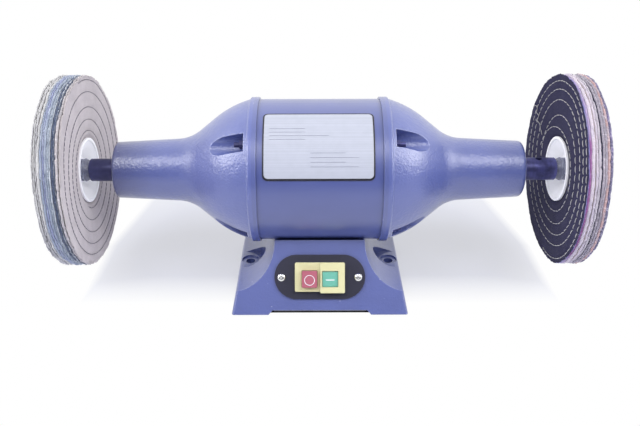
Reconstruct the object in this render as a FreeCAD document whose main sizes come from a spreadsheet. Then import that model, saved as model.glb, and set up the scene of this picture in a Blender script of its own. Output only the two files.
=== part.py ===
"""Dental polishing lathe: a double-ended motor on a cast pedestal with a cloth buff on each shaft end.

The frame's origin is on the floor below the middle of the motor: +X runs along the shaft to the right, +Y to
the back and +Z up.  Lengths are in millimetres and angles in degrees.  Shaft-line pieces are drawn about
their own X axis and lifted to the shaft height by their placement.  "Outboard" pieces follow the spindles,
which stand a little further out on the right than on the left.
"""

import FreeCAD, Part

import math
import os

import Sketcher

SIZES = {
    # Where the shaft lies.
    "room_height": 41.2,
    "outboard_shift": 3.5,
    # Motor drum, a rolled steel tube.
    "drum_radius": 74.2,
    "drum_wall": 3.0,
    "drum_half": 66.0,
    # End bells: a rim over the drum, a falling crown, a cone and a long arm.
    "rim_lap": 4.0,
    "rim_reach": 5.2,
    "rim_stand": 2.2,
    "rim_round": 1.8,
    "rim_inner_round": 0.7,
    "crown_stand": 0.15,
    "crown_length": 21.1,
    "crown_fall": 5.9,
    "crown_round": 105.0,
    "cone_length": 43.4,
    "neck_radius": 33.6,
    "neck_round": 42.0,
    "left_arm_end": 214.2,
    "right_arm_end": 213.2,
    "arm_radius": 29.6,
    "left_arm_round": 2.6,
    "right_arm_round": 3.8,
    "bell_wall": 6.5,
    "spigot_length": 8.5,
    "spigot_wall": 7.45,
    "inner_crown_round": 60.0,
    "inner_neck_round": 26.0,
    "arm_bore": 24.2,
    "end_wall_in": 205.3,
    "end_wall_out": 208.3,
    "end_wall_hole": 13.2,
    "seal_radius": 17.0,
    "seal_thickness": 3.4,
    # Tie bolts and the pockets for their ends.
    "tie_count": 4,
    "tie_inset": 8.7,
    "tie_angle": 43.8,
    "tie_radius": 2.5,
    "tie_hole": 2.75,
    "tie_stud": 9.5,
    "tie_nut_flats": 8.0,
    "tie_nut_height": 4.0,
    "tie_room": 1.0,
    "pocket_set_in": 3.3,
    "pocket_inset": 1.5,
    "pocket_radius": 9.6,
    "pocket_boss_wall": 4.0,
    "pocket_reach": 46.0,
    "left_pocket_angle": -0.2,
    "right_pocket_angle": 3.2,
    # Bearings, 25 x 47 x 12.
    "bearing_bore": 12.5,
    "bearing_outer": 23.5,
    "bearing_width": 12.0,
    "bearing_seat_in": 190.0,
    "inner_land": 16.2,
    "outer_land": 20.2,
    "ball_radius": 3.95,
    "ball_circle": 18.25,
    "ball_count": 8,
    "groove_radius": 4.05,
    "shield_thickness": 0.8,
    "shield_inset": 0.4,
    "preload_washer": 1.0,
    # Stator and rotor.
    "stack_half": 40.0,
    "stator_depth": 33.15,
    "slot_count": 24,
    "stator_back": 15.45,
    "slot_width": 4.5,
    "winding_gap": 3.0,
    "winding_end": 56.5,
    "winding_inset": 3.0,
    "winding_bevel": 4.0,
    "notch_radius": 4.2,
    "air_gap": 0.6,
    "bar_count": 18,
    "bar_cover": 3.0,
    "bar_depth": 7.0,
    "bar_width": 3.2,
    "bar_slack": 0.2,
    "cage_ring": 6.0,
    "cage_ring_lip": 2.0,
    "fan_blade_count": 8,
    "fan_blade_height": 8.0,
    "fan_blade_thickness": 2.0,
    # Shaft.
    "core_seat": 16.0,
    "core_seat_end": 50.0,
    "shoulder_radius": 14.5,
    "shaft_radius": 12.0,
    "shaft_shoulder": 246.8,
    "shaft_chamfer": 0.8,
    "spindle_radius": 9.0,
    "spindle_end": 290.0,
    "spindle_chamfer": 1.5,
    "tommy_hole": 3.5,
    "tommy_place": 228.8,
    # Spindle collar: a short neck, a cone, a notch and a boss.
    "collar_length": 11.4,
    "collar_neck_radius": 9.9,
    "collar_neck_length": 0.9,
    "collar_cone_radius": 12.4,
    "collar_cone_length": 4.6,
    "collar_notch_radius": 11.2,
    "collar_notch_length": 1.1,
    "collar_boss_radius": 11.75,
    "collar_step_length": 0.4,
    # Dished flanges that clamp the buff.
    "flange_radius": 34.2,
    "flange_rim": 248.2,
    "flange_sheet": 2.0,
    "flange_lip": 2.6,
    "flange_hub": 16.2,
    "outer_dish": 3.0,
    # Cloth buffs, wider at the rim than where the flanges clamp them.
    "buff_radius": 100.0,
    "left_buff_face": 244.5,
    "left_buff_back": 272.1,
    "right_buff_face": 246.0,
    "right_buff_back": 270.1,
    "buff_dish": 3.2,
    "clamp_inset": 2.5,
    "buff_round": 2.0,
    "buff_play": 0.95,
    "cloth_gap": 0.3,
    # Nut and washer on each spindle.
    "nut_washer": 2.0,
    "nut_height": 16.0,
    "nut_flats": 27.0,
    # Cast pedestal.
    "foot_half": 91.6,
    "flange_top": 21.3,
    "flange_top_half": 86.9,
    "cove_radius": 45.5,
    "cove_top": 66.5,
    "neck_half": 47.0,
    "base_front": 90.5,
    "base_back": 54.0,
    "face_angle": 30.0,
    "base_wall": 6.0,
    "base_round": 2.9,
    "relief_half": 49.3,
    "relief_height": 4.0,
    "saddle_gap": 3.0,
    "saddle_land_half": 32.0,
    "seat_gap": 0.05,
    "lug_place": 76.5,
    "lug_hole": 4.95,
    "lug_line": -17.0,
    "spotface_radius": 17.3,
    "spotface_floor": 22.0,
    "washer_seat_radius": 9.5,
    "washer_seat_depth": 1.8,
    "lug_boss": 11.5,
    "rib_wall": 8.0,
    "side_pocket_depth": 14.0,
    "side_wall": 8.5,
    # Cover under the pedestal.
    "cover_sheet": 1.5,
    "cover_inset": 1.5,
    "cover_screw_x": 44.0,
    "cover_screw_front": -60.0,
    "cover_screw_back": 40.0,
    "cover_screw_radius": 1.8,
    "cover_screw_depth": 9.0,
    "cover_screw_head": 3.5,
    "cover_screw_head_height": 1.3,
    "screw_clearance": 0.3,
    # Bolts between the pedestal and the drum.
    "drum_bolt_x": 22.0,
    "drum_bolt_radius": 3.0,
    "drum_bolt_head": 5.6,
    "drum_bolt_head_height": 4.0,
    "drum_bolt_washer": 7.0,
    "washer_sheet": 1.2,
    # Switch, drawn on the leaning face.
    "switch_rise": 39.5,
    "plate_length": 94.0,
    "plate_width": 46.0,
    "plate_corner": 22.9,
    "plate_sheet": 2.0,
    "window_length": 48.0,
    "window_width": 27.0,
    "plate_screw_spacing": 79.7,
    "plate_screw_radius": 1.9,
    "plate_screw_head": 4.05,
    "plate_screw_head_height": 2.3,
    "plate_screw_depth": 8.0,
    "housing_length": 51.4,
    "housing_width": 30.0,
    "housing_height": 5.0,
    "collar_rise": 2.5,
    "housing_skirt": 8.0,
    "skirt_length": 47.4,
    "skirt_width": 26.4,
    "collar_drop": 1.4,
    "button_place": 10.6,
    "button_drop": 2.0,
    "stop_length": 15.4,
    "stop_width": 17.0,
    "start_length": 15.9,
    "start_width": 15.9,
    "button_gap": 0.3,
    "button_tail": 6.0,
    "stop_height": 10.0,
    "start_height": 6.0,
    "contact_depth": 24.0,
    "blade_length": 8.0,
    "blade_width": 6.3,
    "blade_sheet": 0.8,
    "blade_spacing": 14.0,
    # Electrical pieces on the cover.
    "capacitor_radius": 15.0,
    "capacitor_length": 45.0,
    "capacitor_x": -12.0,
    "capacitor_y": 24.0,
    "stud_radius": 3.0,
    "stud_length": 6.0,
    "clamp_sheet": 1.5,
    "clamp_width": 12.0,
    "clamp_tab": 11.0,
    "clamp_screw_radius": 2.0,
    "clamp_screw_head": 3.6,
    "clamp_screw_head_height": 2.2,
    "terminal_length": 36.0,
    "terminal_width": 12.0,
    "terminal_height": 14.0,
    "terminal_y": -14.0,
    "wire_way": 2.2,
    "screw_way": 2.4,
    "screw_way_depth": 5.0,
    "gland_x": 26.0,
    "gland_z": 24.0,
    "gland_thread": 7.0,
    "gland_flange": 10.5,
    "gland_flange_width": 4.0,
    "gland_nose": 8.5,
    "gland_nose_length": 13.0,
    "gland_bore": 4.0,
    "gland_nut_width": 4.0,
    # Rating plate, left bare.
    "plate_sweep_angle": 55.0,
    "plate_angle": 44.1,
    "plate_half": 54.0,
    "plate_shift": -1.2,
    "plate_thickness": 0.4,
    "plate_round": 4.5,
}

SIDES = {"left": -1, "right": 1}
PARTS = "parts"

doc = FreeCAD.newDocument("dental_polishing_lathe")
sheet = doc.addObject("Spreadsheet::Sheet", "Sizes")
nodes = []


class Size:
    """A length, angle or count that knows its number and its formula in the sheet."""

    def __init__(self, value, text):
        self.value = float(value)
        self.text = text

    def __add__(self, other):
        other = size(other)
        return Size(self.value + other.value, f"({self.text} + {other.text})")

    def __sub__(self, other):
        other = size(other)
        return Size(self.value - other.value, f"({self.text} - {other.text})")

    def __mul__(self, other):
        other = size(other)
        return Size(self.value * other.value, f"({self.text} * {other.text})")

    def __truediv__(self, other):
        other = size(other)
        return Size(self.value / other.value, f"({self.text} / {other.text})")

    def __neg__(self):
        return Size(-self.value, f"(-1 * {self.text})")


def size(number):
    """Turn a plain number into a Size; leave a Size as it is."""
    return number if isinstance(number, Size) else Size(number, repr(number))


def sine(angle):
    return Size(math.sin(math.radians(angle.value)), f"sin({angle.text})")


def cosine(angle):
    return Size(math.cos(math.radians(angle.value)), f"cos({angle.text})")


def tangent(angle):
    return Size(math.tan(math.radians(angle.value)), f"tan({angle.text})")


def root(square):
    return Size(math.sqrt(square.value), f"sqrt({square.text})")


def fill_sheet():
    """Write every driving size to the sheet under its own alias."""
    for row, (alias, value) in enumerate(SIZES.items(), start=1):
        sheet.set(f"A{row}", alias)
        sheet.set(f"B{row}", str(value))
        sheet.setAlias(f"B{row}", alias)
    doc.recompute()


def named(alias):
    return Size(SIZES[alias], f"Sizes.{alias}")


S = {alias: named(alias) for alias in SIZES}
S["axis_height"] = S["room_height"] + S["base_wall"] + S["saddle_gap"] + S["drum_radius"]
S["rim_radius"] = S["drum_radius"] + S["rim_stand"]
S["crown_radius"] = S["drum_radius"] + S["crown_stand"]
S["crown_low"] = S["drum_radius"] - S["crown_fall"]
S["core_radius"] = S["drum_radius"] - S["drum_wall"] - S["seat_gap"]
S["spigot_bore"] = S["core_radius"] - S["spigot_wall"]
S["slot_bottom"] = S["core_radius"] - S["stator_back"]
S["tie_circle"] = S["drum_radius"] - S["tie_inset"]
S["pocket_circle"] = S["tie_circle"] - S["pocket_inset"]
S["winding_outer"] = S["tie_circle"] - S["tie_radius"] - S["tie_room"]
S["rim_start"] = S["drum_half"] - S["rim_lap"]
S["rim_end"] = S["drum_half"] + S["rim_reach"]
S["crown_end"] = S["rim_end"] + S["crown_length"]
S["neck_start"] = S["crown_end"] + S["cone_length"]
S["spigot_start"] = S["drum_half"] - S["spigot_length"]
S["pocket_floor"] = S["rim_end"] + S["pocket_set_in"]
S["stator_bore"] = S["core_radius"] - S["stator_depth"]
S["winding_inner"] = S["stator_bore"] + S["winding_inset"]
S["bar_outer"] = S["stator_bore"] - S["bar_cover"]
S["bar_inner"] = S["bar_outer"] - S["bar_depth"]
S["cage_ring_bore"] = S["bar_inner"] - S["cage_ring_lip"]
ZERO = Size(0, "0")


# --- sketches and bodies ------------------------------------------------------------------------------------


def body(label, x=ZERO, y=ZERO, z=ZERO):
    """A new body whose own origin stands at x, y, z."""
    new = doc.addObject("PartDesign::Body", label)
    new.Label = label
    place(new, x, y, z)
    return new


def place(item, x=ZERO, y=ZERO, z=ZERO, axis=None, angle=None):
    """Bind an object's placement to sizes, turned about axis by angle."""
    spot = FreeCAD.Vector(x.value, y.value, z.value)
    turn = FreeCAD.Rotation(axis, angle.value) if axis else FreeCAD.Rotation()
    item.Placement = FreeCAD.Placement(spot, turn)
    for letter, value in zip("xyz", (x, y, z)):
        if value.text != "0":
            item.setExpression(f"Placement.Base.{letter}", value.text)
    if axis:
        item.setExpression("Placement.Rotation.Angle", angle.text)


def plane(owner, role):
    return next(item for item in owner.Origin.OriginFeatures if item.Role == role)


def sketch(owner, role, height=None):
    """A sketch on one of the body's own origin planes, lifted along its normal by height."""
    new = owner.newObject("Sketcher::SketchObject", f"{owner.Name}_sketch")
    new.AttachmentSupport = (plane(owner, role), [""])
    new.MapMode = "FlatFace"
    if height is not None:
        new.setExpression("AttachmentOffset.Base.z", height.text)
    return new


def corner(x, y, fillet=None, bend=None):
    """A corner of an outline.

    fillet rounds it.  bend = (radius, side) makes the edge that leaves it an arc whose centre lies to the
    left (side 1) or to the right (side -1) of the way it runs.
    """
    return {"x": size(x), "y": size(y), "fillet": fillet, "bend": bend}


def unit(start, end):
    return (end - start).normalize()


def corner_arc(before, here, after, radius):
    """Centre, start and end of the arc that rounds the corner at here."""
    back = unit(here, before)
    ahead = unit(here, after)
    half = back.getAngle(ahead) / 2
    reach = radius / math.tan(half)
    middle = (back + ahead).normalize()
    return here + middle * (radius / math.sin(half)), here + back * reach, here + ahead * reach


def arc_between(centre, start, end, leftward):
    """Arc geometry from start to end about centre, and the numbers of its two ends."""
    if not leftward:
        start, end = end, start
    radius = (start - centre).Length
    first = math.atan2(start.y - centre.y, start.x - centre.x)
    last = math.atan2(end.y - centre.y, end.x - centre.x)
    if last <= first:
        last += 2 * math.pi
    circle = Part.Circle(centre, FreeCAD.Vector(0, 0, 1), radius)
    return Part.ArcOfCircle(circle, first, last), (1, 2) if leftward else (2, 1)


def bend_centre(start, end, radius, side):
    chord = end - start
    rise = math.sqrt(radius * radius - chord.Length**2 / 4)
    left = FreeCAD.Vector(-chord.y, chord.x, 0).normalize()
    return (start + end) * 0.5 + left * (side * rise)


class Drawing:
    """Collects the geometry and the constraints of one sketch."""

    def __init__(self, target):
        self.target = target
        self.rules = []
        self.formulas = []

    def add(self, shape, construction=False):
        return self.target.addGeometry(shape, construction)

    def rule(self, *words):
        self.rules.append(Sketcher.Constraint(*words))

    def pin(self, item, end, x, y):
        """Fix a point at x and y, both measured from the sketch's origin."""
        for kind, axis, value in (("DistanceX", -2, x), ("DistanceY", -1, y)):
            if value.text == "0":
                self.rule("PointOnObject", item, end, axis)
            else:
                self.formulas.append((len(self.rules), value.text))
                self.rule(kind, -1, 1, item, end, value.value)

    def radius(self, item, value):
        self.formulas.append((len(self.rules), value.text))
        self.rule("Radius", item, value.value)

    def circle(self, x, y, radius):
        x, y = size(x), size(y)
        centre = FreeCAD.Vector(x.value, y.value, 0)
        ring = self.add(Part.Circle(centre, FreeCAD.Vector(0, 0, 1), radius.value))
        if x.text == "0" and y.text == "0":
            self.rule("Coincident", ring, 3, -1, 1)
        else:
            self.pin(ring, 3, x, y)
        self.radius(ring, radius)

    def outline(self, corners):
        """A closed outline through the corners, in order."""
        count = len(corners)
        spots = [FreeCAD.Vector(c["x"].value, c["y"].value, 0) for c in corners]
        leave, reach, arcs = list(spots), list(spots), {}
        for i, item in enumerate(corners):
            if item["fillet"]:
                before, after = spots[i - 1], spots[(i + 1) % count]
                found = corner_arc(before, spots[i], after, item["fillet"].value)
                arcs[i] = found
                reach[i], leave[i] = found[1], found[2]
        edges = []
        for i, item in enumerate(corners):
            start, end = leave[i], reach[(i + 1) % count]
            if item["bend"]:
                radius, side = item["bend"]
                centre = bend_centre(start, end, radius.value, side)
                shape, ends = arc_between(centre, start, end, side > 0)
                edge = self.add(shape)
                self.radius(edge, radius)
            else:
                edge, ends = self.add(Part.LineSegment(start, end)), (1, 2)
            edges.append((edge, ends))
        for i, item in enumerate(corners):
            (last, last_ends), (edge, ends) = edges[i - 1], edges[i]
            if i not in arcs:
                self.rule("Coincident", last, last_ends[1], edge, ends[0])
                self.pin(edge, ends[0], item["x"], item["y"])
                continue
            centre, start, end = arcs[i]
            leftward = (start - centre).cross(end - centre).z > 0
            shape, arc_ends = arc_between(centre, start, end, leftward)
            bow = self.add(shape)
            mark = self.add(Part.Point(spots[i]), True)
            self.pin(mark, 1, item["x"], item["y"])
            self.rule("PointOnObject", mark, 1, last)
            self.rule("PointOnObject", mark, 1, edge)
            self.rule("Tangent", last, last_ends[1], bow, arc_ends[0])
            self.rule("Tangent", bow, arc_ends[1], edge, ends[0])
            self.radius(bow, item["fillet"])

    def box(self, x1, x2, y1, y2):
        self.outline([corner(x1, y1), corner(x2, y1), corner(x2, y2), corner(x1, y2)])

    def finish(self):
        self.target.addConstraint(self.rules)
        for index, text in self.formulas:
            self.target.setExpression(f"Constraints[{index}]", text)
        self.target.Visibility = False
        return self.target


def drawn(owner, role, *outlines, height=None):
    """A finished sketch of one or more closed outlines."""
    drawing = Drawing(sketch(owner, role, height))
    for corners in outlines:
        drawing.outline(corners)
    return drawing.finish()


def rings(owner, role, circles, height=None):
    """A finished sketch of circles, each given as x, y and radius."""
    drawing = Drawing(sketch(owner, role, height))
    for x, y, radius in circles:
        drawing.circle(x, y, radius)
    return drawing.finish()


def turned(owner, profile, axis="H_Axis", angle=None):
    """Turn a profile about one of its sketch's own axes, all round or by an angle."""
    feature = owner.newObject("PartDesign::Revolution", f"{owner.Name}_turn")
    feature.Profile = profile
    feature.ReferenceAxis = (profile, [axis])
    feature.Angle = FULL_TURN
    if angle is not None:
        feature.Midplane = True
        feature.setExpression("Angle", angle.text)
    return feature


def padded(owner, profile, length, both=False, back=False):
    feature = owner.newObject("PartDesign::Pad", f"{owner.Name}_pad")
    feature.Profile = profile
    feature.setExpression("Length", length.text)
    feature.Midplane = both
    feature.Reversed = back
    return feature


def pocketed(owner, profile, depth=None, both=False, back=False):
    """Cut a profile out of a body: right through, or to a depth."""
    feature = owner.newObject("PartDesign::Pocket", f"{owner.Name}_pocket")
    feature.Profile = profile
    if depth is None:
        feature.Type = "ThroughAll"
    else:
        feature.setExpression("Length", depth.text)
    feature.Midplane = both
    feature.Reversed = back
    return feature


def repeated(owner, feature, count):
    """Repeat a feature round the body's X axis."""
    pattern = owner.newObject("PartDesign::PolarPattern", f"{owner.Name}_pattern")
    pattern.Originals = [feature]
    pattern.Axis = (plane(owner, "X_Axis"), [""])
    pattern.Angle = FULL_TURN
    pattern.setExpression("Occurrences", count.text)
    owner.Tip = pattern
    return pattern


# --- part solids and booleans -------------------------------------------------------------------------------

QUARTER_TURN = size(90)
FULL_TURN = 360
HEXAGON = 6
HALF_SIDE = size(FULL_TURN / HEXAGON / 2)
OVERRUN = 10
LONG_REACH = 60
ALONG_X = (FreeCAD.Vector(0, 1, 0), QUARTER_TURN)
ALONG_Y = (FreeCAD.Vector(1, 0, 0), -QUARTER_TURN)


def bind(item, **values):
    for name, value in values.items():
        item.setExpression(name, size(value).text)
    return item


def rod(label, radius, length, x=ZERO, y=ZERO, z=ZERO, along=None):
    """A cylinder from x, y, z along +Z, or along ALONG_X or ALONG_Y."""
    item = bind(doc.addObject("Part::Cylinder", label), Radius=radius, Height=length)
    place(item, size(x), size(y), size(z), *(along or ()))
    return item


def block(label, x1, x2, y1, y2, z1, z2):
    """A box between two opposite corners."""
    x1, x2, y1, y2, z1, z2 = (size(value) for value in (x1, x2, y1, y2, z1, z2))
    item = bind(doc.addObject("Part::Box", label), Length=x2 - x1, Width=y2 - y1, Height=z2 - z1)
    place(item, x1, y1, z1)
    return item


def fused(label, items):
    item = doc.addObject("Part::MultiFuse", label)
    item.Shapes = items
    return item


def cut(label, base, tool):
    item = doc.addObject("Part::Cut", label)
    item.Base = base
    item.Tool = tool
    return item


def group(label, items):
    item = doc.addObject("Part::Compound", label)
    item.Links = items
    return item


def node(item, label):
    """Make an object one of the named sub-parts that are written out."""
    item.Label = label
    nodes.append(item)
    return item


# --- leaning face frame -------------------------------------------------------------------------------------

LEAN = S["face_angle"]
FACE_Y = S["switch_rise"] * sine(LEAN) - S["base_front"]
FACE_Z = S["switch_rise"] * cosine(LEAN)
FACE_TURN = QUARTER_TURN - LEAN


def lay_on_face(item):
    """Stand an object that is drawn flat, with +Z outward, on the leaning face at the switch."""
    place(item, ZERO, FACE_Y, FACE_Z, FreeCAD.Vector(1, 0, 0), FACE_TURN)
    return item


# --- motor housing ------------------------------------------------------------------------------------------


def motor_drum():
    """Rolled steel tube with two holes below for the pedestal bolts."""
    drum = body("motor_drum", z=S["axis_height"])
    bore = S["drum_radius"] - S["drum_wall"]
    wall = Drawing(sketch(drum, "XZ_Plane"))
    wall.box(-S["drum_half"], S["drum_half"], bore, S["drum_radius"])
    turned(drum, wall.finish())
    hole = S["drum_bolt_radius"] + S["seat_gap"]
    pocketed(drum, rings(drum, "XY_Plane", [(S["drum_bolt_x"] * side, 0, hole) for side in (-1, 1)]))
    node(drum, "motor_drum")


def bell_outside(name, side):
    """The turned bell before its inside is hollowed."""
    bell = body(f"{name}_bell_solid", z=S["axis_height"])
    seat = S["bearing_outer"] + S["seat_gap"] / 2
    arm_end = S[f"{name}_arm_end"]
    points = [
        (S["spigot_start"], S["core_radius"]),
        (S["drum_half"], S["core_radius"]),
        (S["drum_half"], S["drum_radius"] + S["seat_gap"]),
        (S["rim_start"], S["drum_radius"] + S["seat_gap"]),
        (S["rim_start"], S["rim_radius"], S["rim_inner_round"]),
        (S["rim_end"], S["rim_radius"], S["rim_round"]),
        (S["rim_end"], S["crown_radius"]),
        (S["crown_end"], S["crown_low"], S["crown_round"]),
        (S["neck_start"], S["neck_radius"], S["neck_round"]),
        (arm_end, S["arm_radius"], S[f"{name}_arm_round"]),
        (arm_end, S["seal_radius"]),
        (S["end_wall_out"], S["seal_radius"]),
        (S["end_wall_out"], S["end_wall_hole"]),
        (S["end_wall_in"], S["end_wall_hole"]),
        (S["end_wall_in"], seat),
        (S["bearing_seat_in"], seat),
        (S["bearing_seat_in"], S["shaft_radius"]),
        (S["spigot_start"], S["shaft_radius"]),
    ]
    turned(bell, drawn(bell, "XZ_Plane", [corner(p[0] * side, *p[1:]) for p in points]))
    return bell


def bell_cavity(name, side):
    """The hollow of a bell: a drum end, a funnel and the arm's bore."""
    cavity = body(f"{name}_bell_cavity", z=S["axis_height"])
    wall = S["bell_wall"]
    gentle = (S["crown_radius"] - S["crown_low"]) / (S["crown_end"] - S["rim_end"])
    steep = (S["crown_low"] - S["neck_radius"]) / (S["neck_start"] - S["crown_end"])
    gentle_slant, steep_slant = root(gentle * gentle + 1), root(steep * steep + 1)
    turn_in = S["crown_end"] - wall * (steep_slant - gentle_slant) / (steep - gentle)
    turn_radius = S["crown_low"] - (turn_in - S["crown_end"]) * gentle - wall * gentle_slant
    throat = S["crown_end"] + (S["crown_low"] - wall * steep_slant - S["arm_bore"]) / steep
    deep = S["bearing_seat_in"] + 1
    points = [
        (S["spigot_start"] - 1, ZERO),
        (S["spigot_start"] - 1, S["spigot_bore"]),
        (S["rim_end"], S["spigot_bore"]),
        (S["rim_end"], S["crown_radius"] - wall * gentle_slant),
        (turn_in, turn_radius, S["inner_crown_round"]),
        (throat, S["arm_bore"], S["inner_neck_round"]),
        (deep, S["arm_bore"]),
        (deep, ZERO),
    ]
    turned(cavity, drawn(cavity, "XZ_Plane", [corner(p[0] * side, *p[1:]) for p in points]))
    return cavity


def tie_angles():
    """The tie bolts' angles round the shaft, from +Y towards +Z."""
    count = int(SIZES["tie_count"])
    return [S["tie_angle"] + FULL_TURN * i / count for i in range(count)]


def ringed(angle, circle):
    """Y and Z of a point at an angle on a circle round the shaft."""
    return circle * cosine(angle), S["axis_height"] + circle * sine(angle)


def outward_rod(label, angle, circle, radius, start, length, side):
    """A cylinder along the shaft's direction, from start outward on one side."""
    y, z = ringed(angle, circle)
    low = start * side if side > 0 else start * side - length
    return rod(label, radius, length, low, y, z, ALONG_X)


def pocket_slot(label, angle, side):
    """The open half of a bolt pocket: a slot that runs out through the crown."""
    slot = doc.addObject("Part::Box", label)
    radius = S["pocket_radius"]
    bind(slot, Length=S["pocket_reach"], Width=radius * 2, Height=radius * 2)
    low = S["pocket_floor"] if side > 0 else -S["pocket_floor"] - S["pocket_reach"]
    y, z = ringed(angle, S["pocket_circle"])
    place(slot, low, y + radius * sine(angle), z - radius * cosine(angle), FreeCAD.Vector(1, 0, 0), angle)
    return slot


def end_bell(name, side):
    """Flared casting: crown, cone and long arm, with an open pocket for each tie bolt's end."""
    bosses, tools = [], []
    reach, radius = S["pocket_reach"], S["pocket_radius"]
    for i, angle in enumerate(tie_angles()):
        tag = f"{name}_{i}"
        turned_angle = angle - S[f"{name}_pocket_angle"]
        circle = S["pocket_circle"]
        bosses.append(outward_rod(f"boss_{tag}", turned_angle, circle, radius + S["pocket_boss_wall"],
                                  S["rim_end"], reach + OVERRUN, side))
        tools.append(outward_rod(f"pocket_{tag}", turned_angle, circle, radius, S["pocket_floor"],
                                 reach, side))
        tools.append(pocket_slot(f"slot_{tag}", turned_angle, side))
        tools.append(outward_rod(f"hole_{tag}", angle, S["tie_circle"], S["tie_hole"], S["spigot_start"] - 2,
                                 reach, side))
    hollow = cut(f"{name}_hollow", bell_cavity(name, side), fused(f"{name}_bosses", bosses))
    shell = cut(f"{name}_shell", bell_outside(name, side), hollow)
    node(cut(f"{name}_end_bell", shell, fused(f"{name}_bell_tools", tools)), f"{name}_end_bell")


def tie_bolts():
    """Four long studs through both bells, with a hexagon nut on each end."""
    studs, nuts = [], []
    reach = S["pocket_floor"] + S["tie_stud"]
    for i, angle in enumerate(tie_angles()):
        y, z = ringed(angle, S["tie_circle"])
        studs.append(rod(f"tie_stud_{i}", S["tie_radius"], reach * 2, -reach, y, z, ALONG_X))
        for name, side in SIDES.items():
            low = S["pocket_floor"] if side > 0 else -S["pocket_floor"] - S["tie_nut_height"]
            blank = doc.addObject("Part::Prism", f"{name}_tie_nut_blank_{i}")
            blank.Polygon = HEXAGON
            bind(blank, Circumradius=S["tie_nut_flats"] / cosine(HALF_SIDE) / 2, Height=S["tie_nut_height"])
            place(blank, low, y, z, *ALONG_X)
            thread = rod(f"{name}_tie_nut_thread_{i}", S["tie_radius"] + S["seat_gap"], S["tie_nut_height"],
                         low, y, z, ALONG_X)
            nuts.append(cut(f"{name}_tie_nut_{i}", blank, thread))
    node(group("tie_bolts", studs), "tie_bolts")
    node(group("tie_bolt_nuts", nuts), "tie_bolt_nuts")


def rating_plate():
    """Thin curved plate with rounded corners on the drum's upper front."""
    tilt = QUARTER_TURN - S["plate_angle"]
    plate = body("rating_plate")
    place(plate, S["plate_shift"], ZERO, S["axis_height"], FreeCAD.Vector(1, 0, 0), tilt)
    skin = Drawing(sketch(plate, "XZ_Plane"))
    under = S["drum_radius"] + S["seat_gap"]
    skin.box(-S["plate_half"], S["plate_half"], under, under + S["plate_thickness"])
    turned(plate, skin.finish(), angle=S["plate_sweep_angle"])
    doc.recompute()
    short = [
        f"Edge{i}"
        for i, edge in enumerate(plate.Shape.Edges, start=1)
        if abs(edge.Length - SIZES["plate_thickness"]) < 0.01
    ]
    rounded = plate.newObject("PartDesign::Fillet", "rating_plate_corners")
    rounded.Base = (plate.Group[-2], short)
    rounded.setExpression("Radius", S["plate_round"].text)
    plate.Tip = rounded
    node(plate, "rating_plate")


# --- bearings and seals -------------------------------------------------------------------------------------

BEARING_OUT = S["end_wall_in"] - S["preload_washer"]
BEARING_MIDDLE = BEARING_OUT - S["bearing_width"] / 2


def ring(label, x1, x2, inner, outer, shift=ZERO):
    """A plain turned ring on the shaft line."""
    part = body(label, x=shift, z=S["axis_height"])
    wall = Drawing(sketch(part, "XZ_Plane"))
    wall.box(x1, x2, inner, outer)
    turned(part, wall.finish())
    return part


def race(label, side, back, land, facing):
    """A bearing ring: its back is the seat, its land faces the balls and holds their groove."""
    part = body(label, x=BEARING_MIDDLE * side, z=S["axis_height"])
    half = S["bearing_width"] / 2
    lift = S["ball_circle"] - land if facing > 0 else land - S["ball_circle"]
    groove = root(S["groove_radius"] * S["groove_radius"] - lift * lift)
    points = [
        corner(-half, back),
        corner(half, back),
        corner(half, land),
        corner(groove, land, bend=(S["groove_radius"], -facing)),
        corner(-groove, land),
        corner(-half, land),
    ]
    turned(part, drawn(part, "XZ_Plane", points))
    node(part, label)


def bearing_balls(label, side):
    """The balls of one bearing, evenly spaced in their grooves."""
    count = int(SIZES["ball_count"])
    balls = []
    for i in range(count):
        turn = size(FULL_TURN * i / count)
        ball = bind(doc.addObject("Part::Sphere", f"{label}_{i}"), Radius=S["ball_radius"])
        place(ball, BEARING_MIDDLE * side, S["ball_circle"] * cosine(turn),
              S["axis_height"] + S["ball_circle"] * sine(turn))
        balls.append(ball)
    node(group(label, balls), label)


def bearings():
    for name, side in SIDES.items():
        race(f"{name}_bearing_outer_ring", side, S["bearing_outer"], S["outer_land"], -1)
        race(f"{name}_bearing_inner_ring", side, S["bearing_bore"], S["inner_land"], 1)
        shields = []
        for face in (-1, 1):
            outer_x = S["bearing_width"] / 2 * face - S["shield_inset"] * face
            inner_x = outer_x - S["shield_thickness"] * face
            low, high = (inner_x, outer_x) if face > 0 else (outer_x, inner_x)
            shields.append(ring(f"{name}_shield_{face + 1}", low, high, S["inner_land"] + 0.3,
                                S["outer_land"] - S["seat_gap"], BEARING_MIDDLE * side))
        node(group(f"{name}_bearing_shields", shields), f"{name}_bearing_shields")
        bearing_balls(f"{name}_bearing_balls", side)
    washers = []
    for name, side in SIDES.items():
        inner, outer = S["outer_land"] - 1, S["bearing_outer"] - S["seat_gap"]
        low, high = sorted((BEARING_OUT * side, S["end_wall_in"] * side), key=lambda item: item.value)
        washers.append(ring(f"{name}_preload", low, high, inner, outer))
    node(group("preload_washers", washers), "preload_washers")
    for name, side in SIDES.items():
        edge = S["end_wall_out"] + S["seal_thickness"]
        low, high = sorted((S["end_wall_out"] * side, edge * side), key=lambda item: item.value)
        outer = S["seal_radius"] - S["seat_gap"]
        node(ring(f"{name}_shaft_seal", low, high, S["shaft_radius"] + S["screw_clearance"], outer),
             f"{name}_shaft_seal")


# --- stator and rotor ---------------------------------------------------------------------------------------


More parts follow.
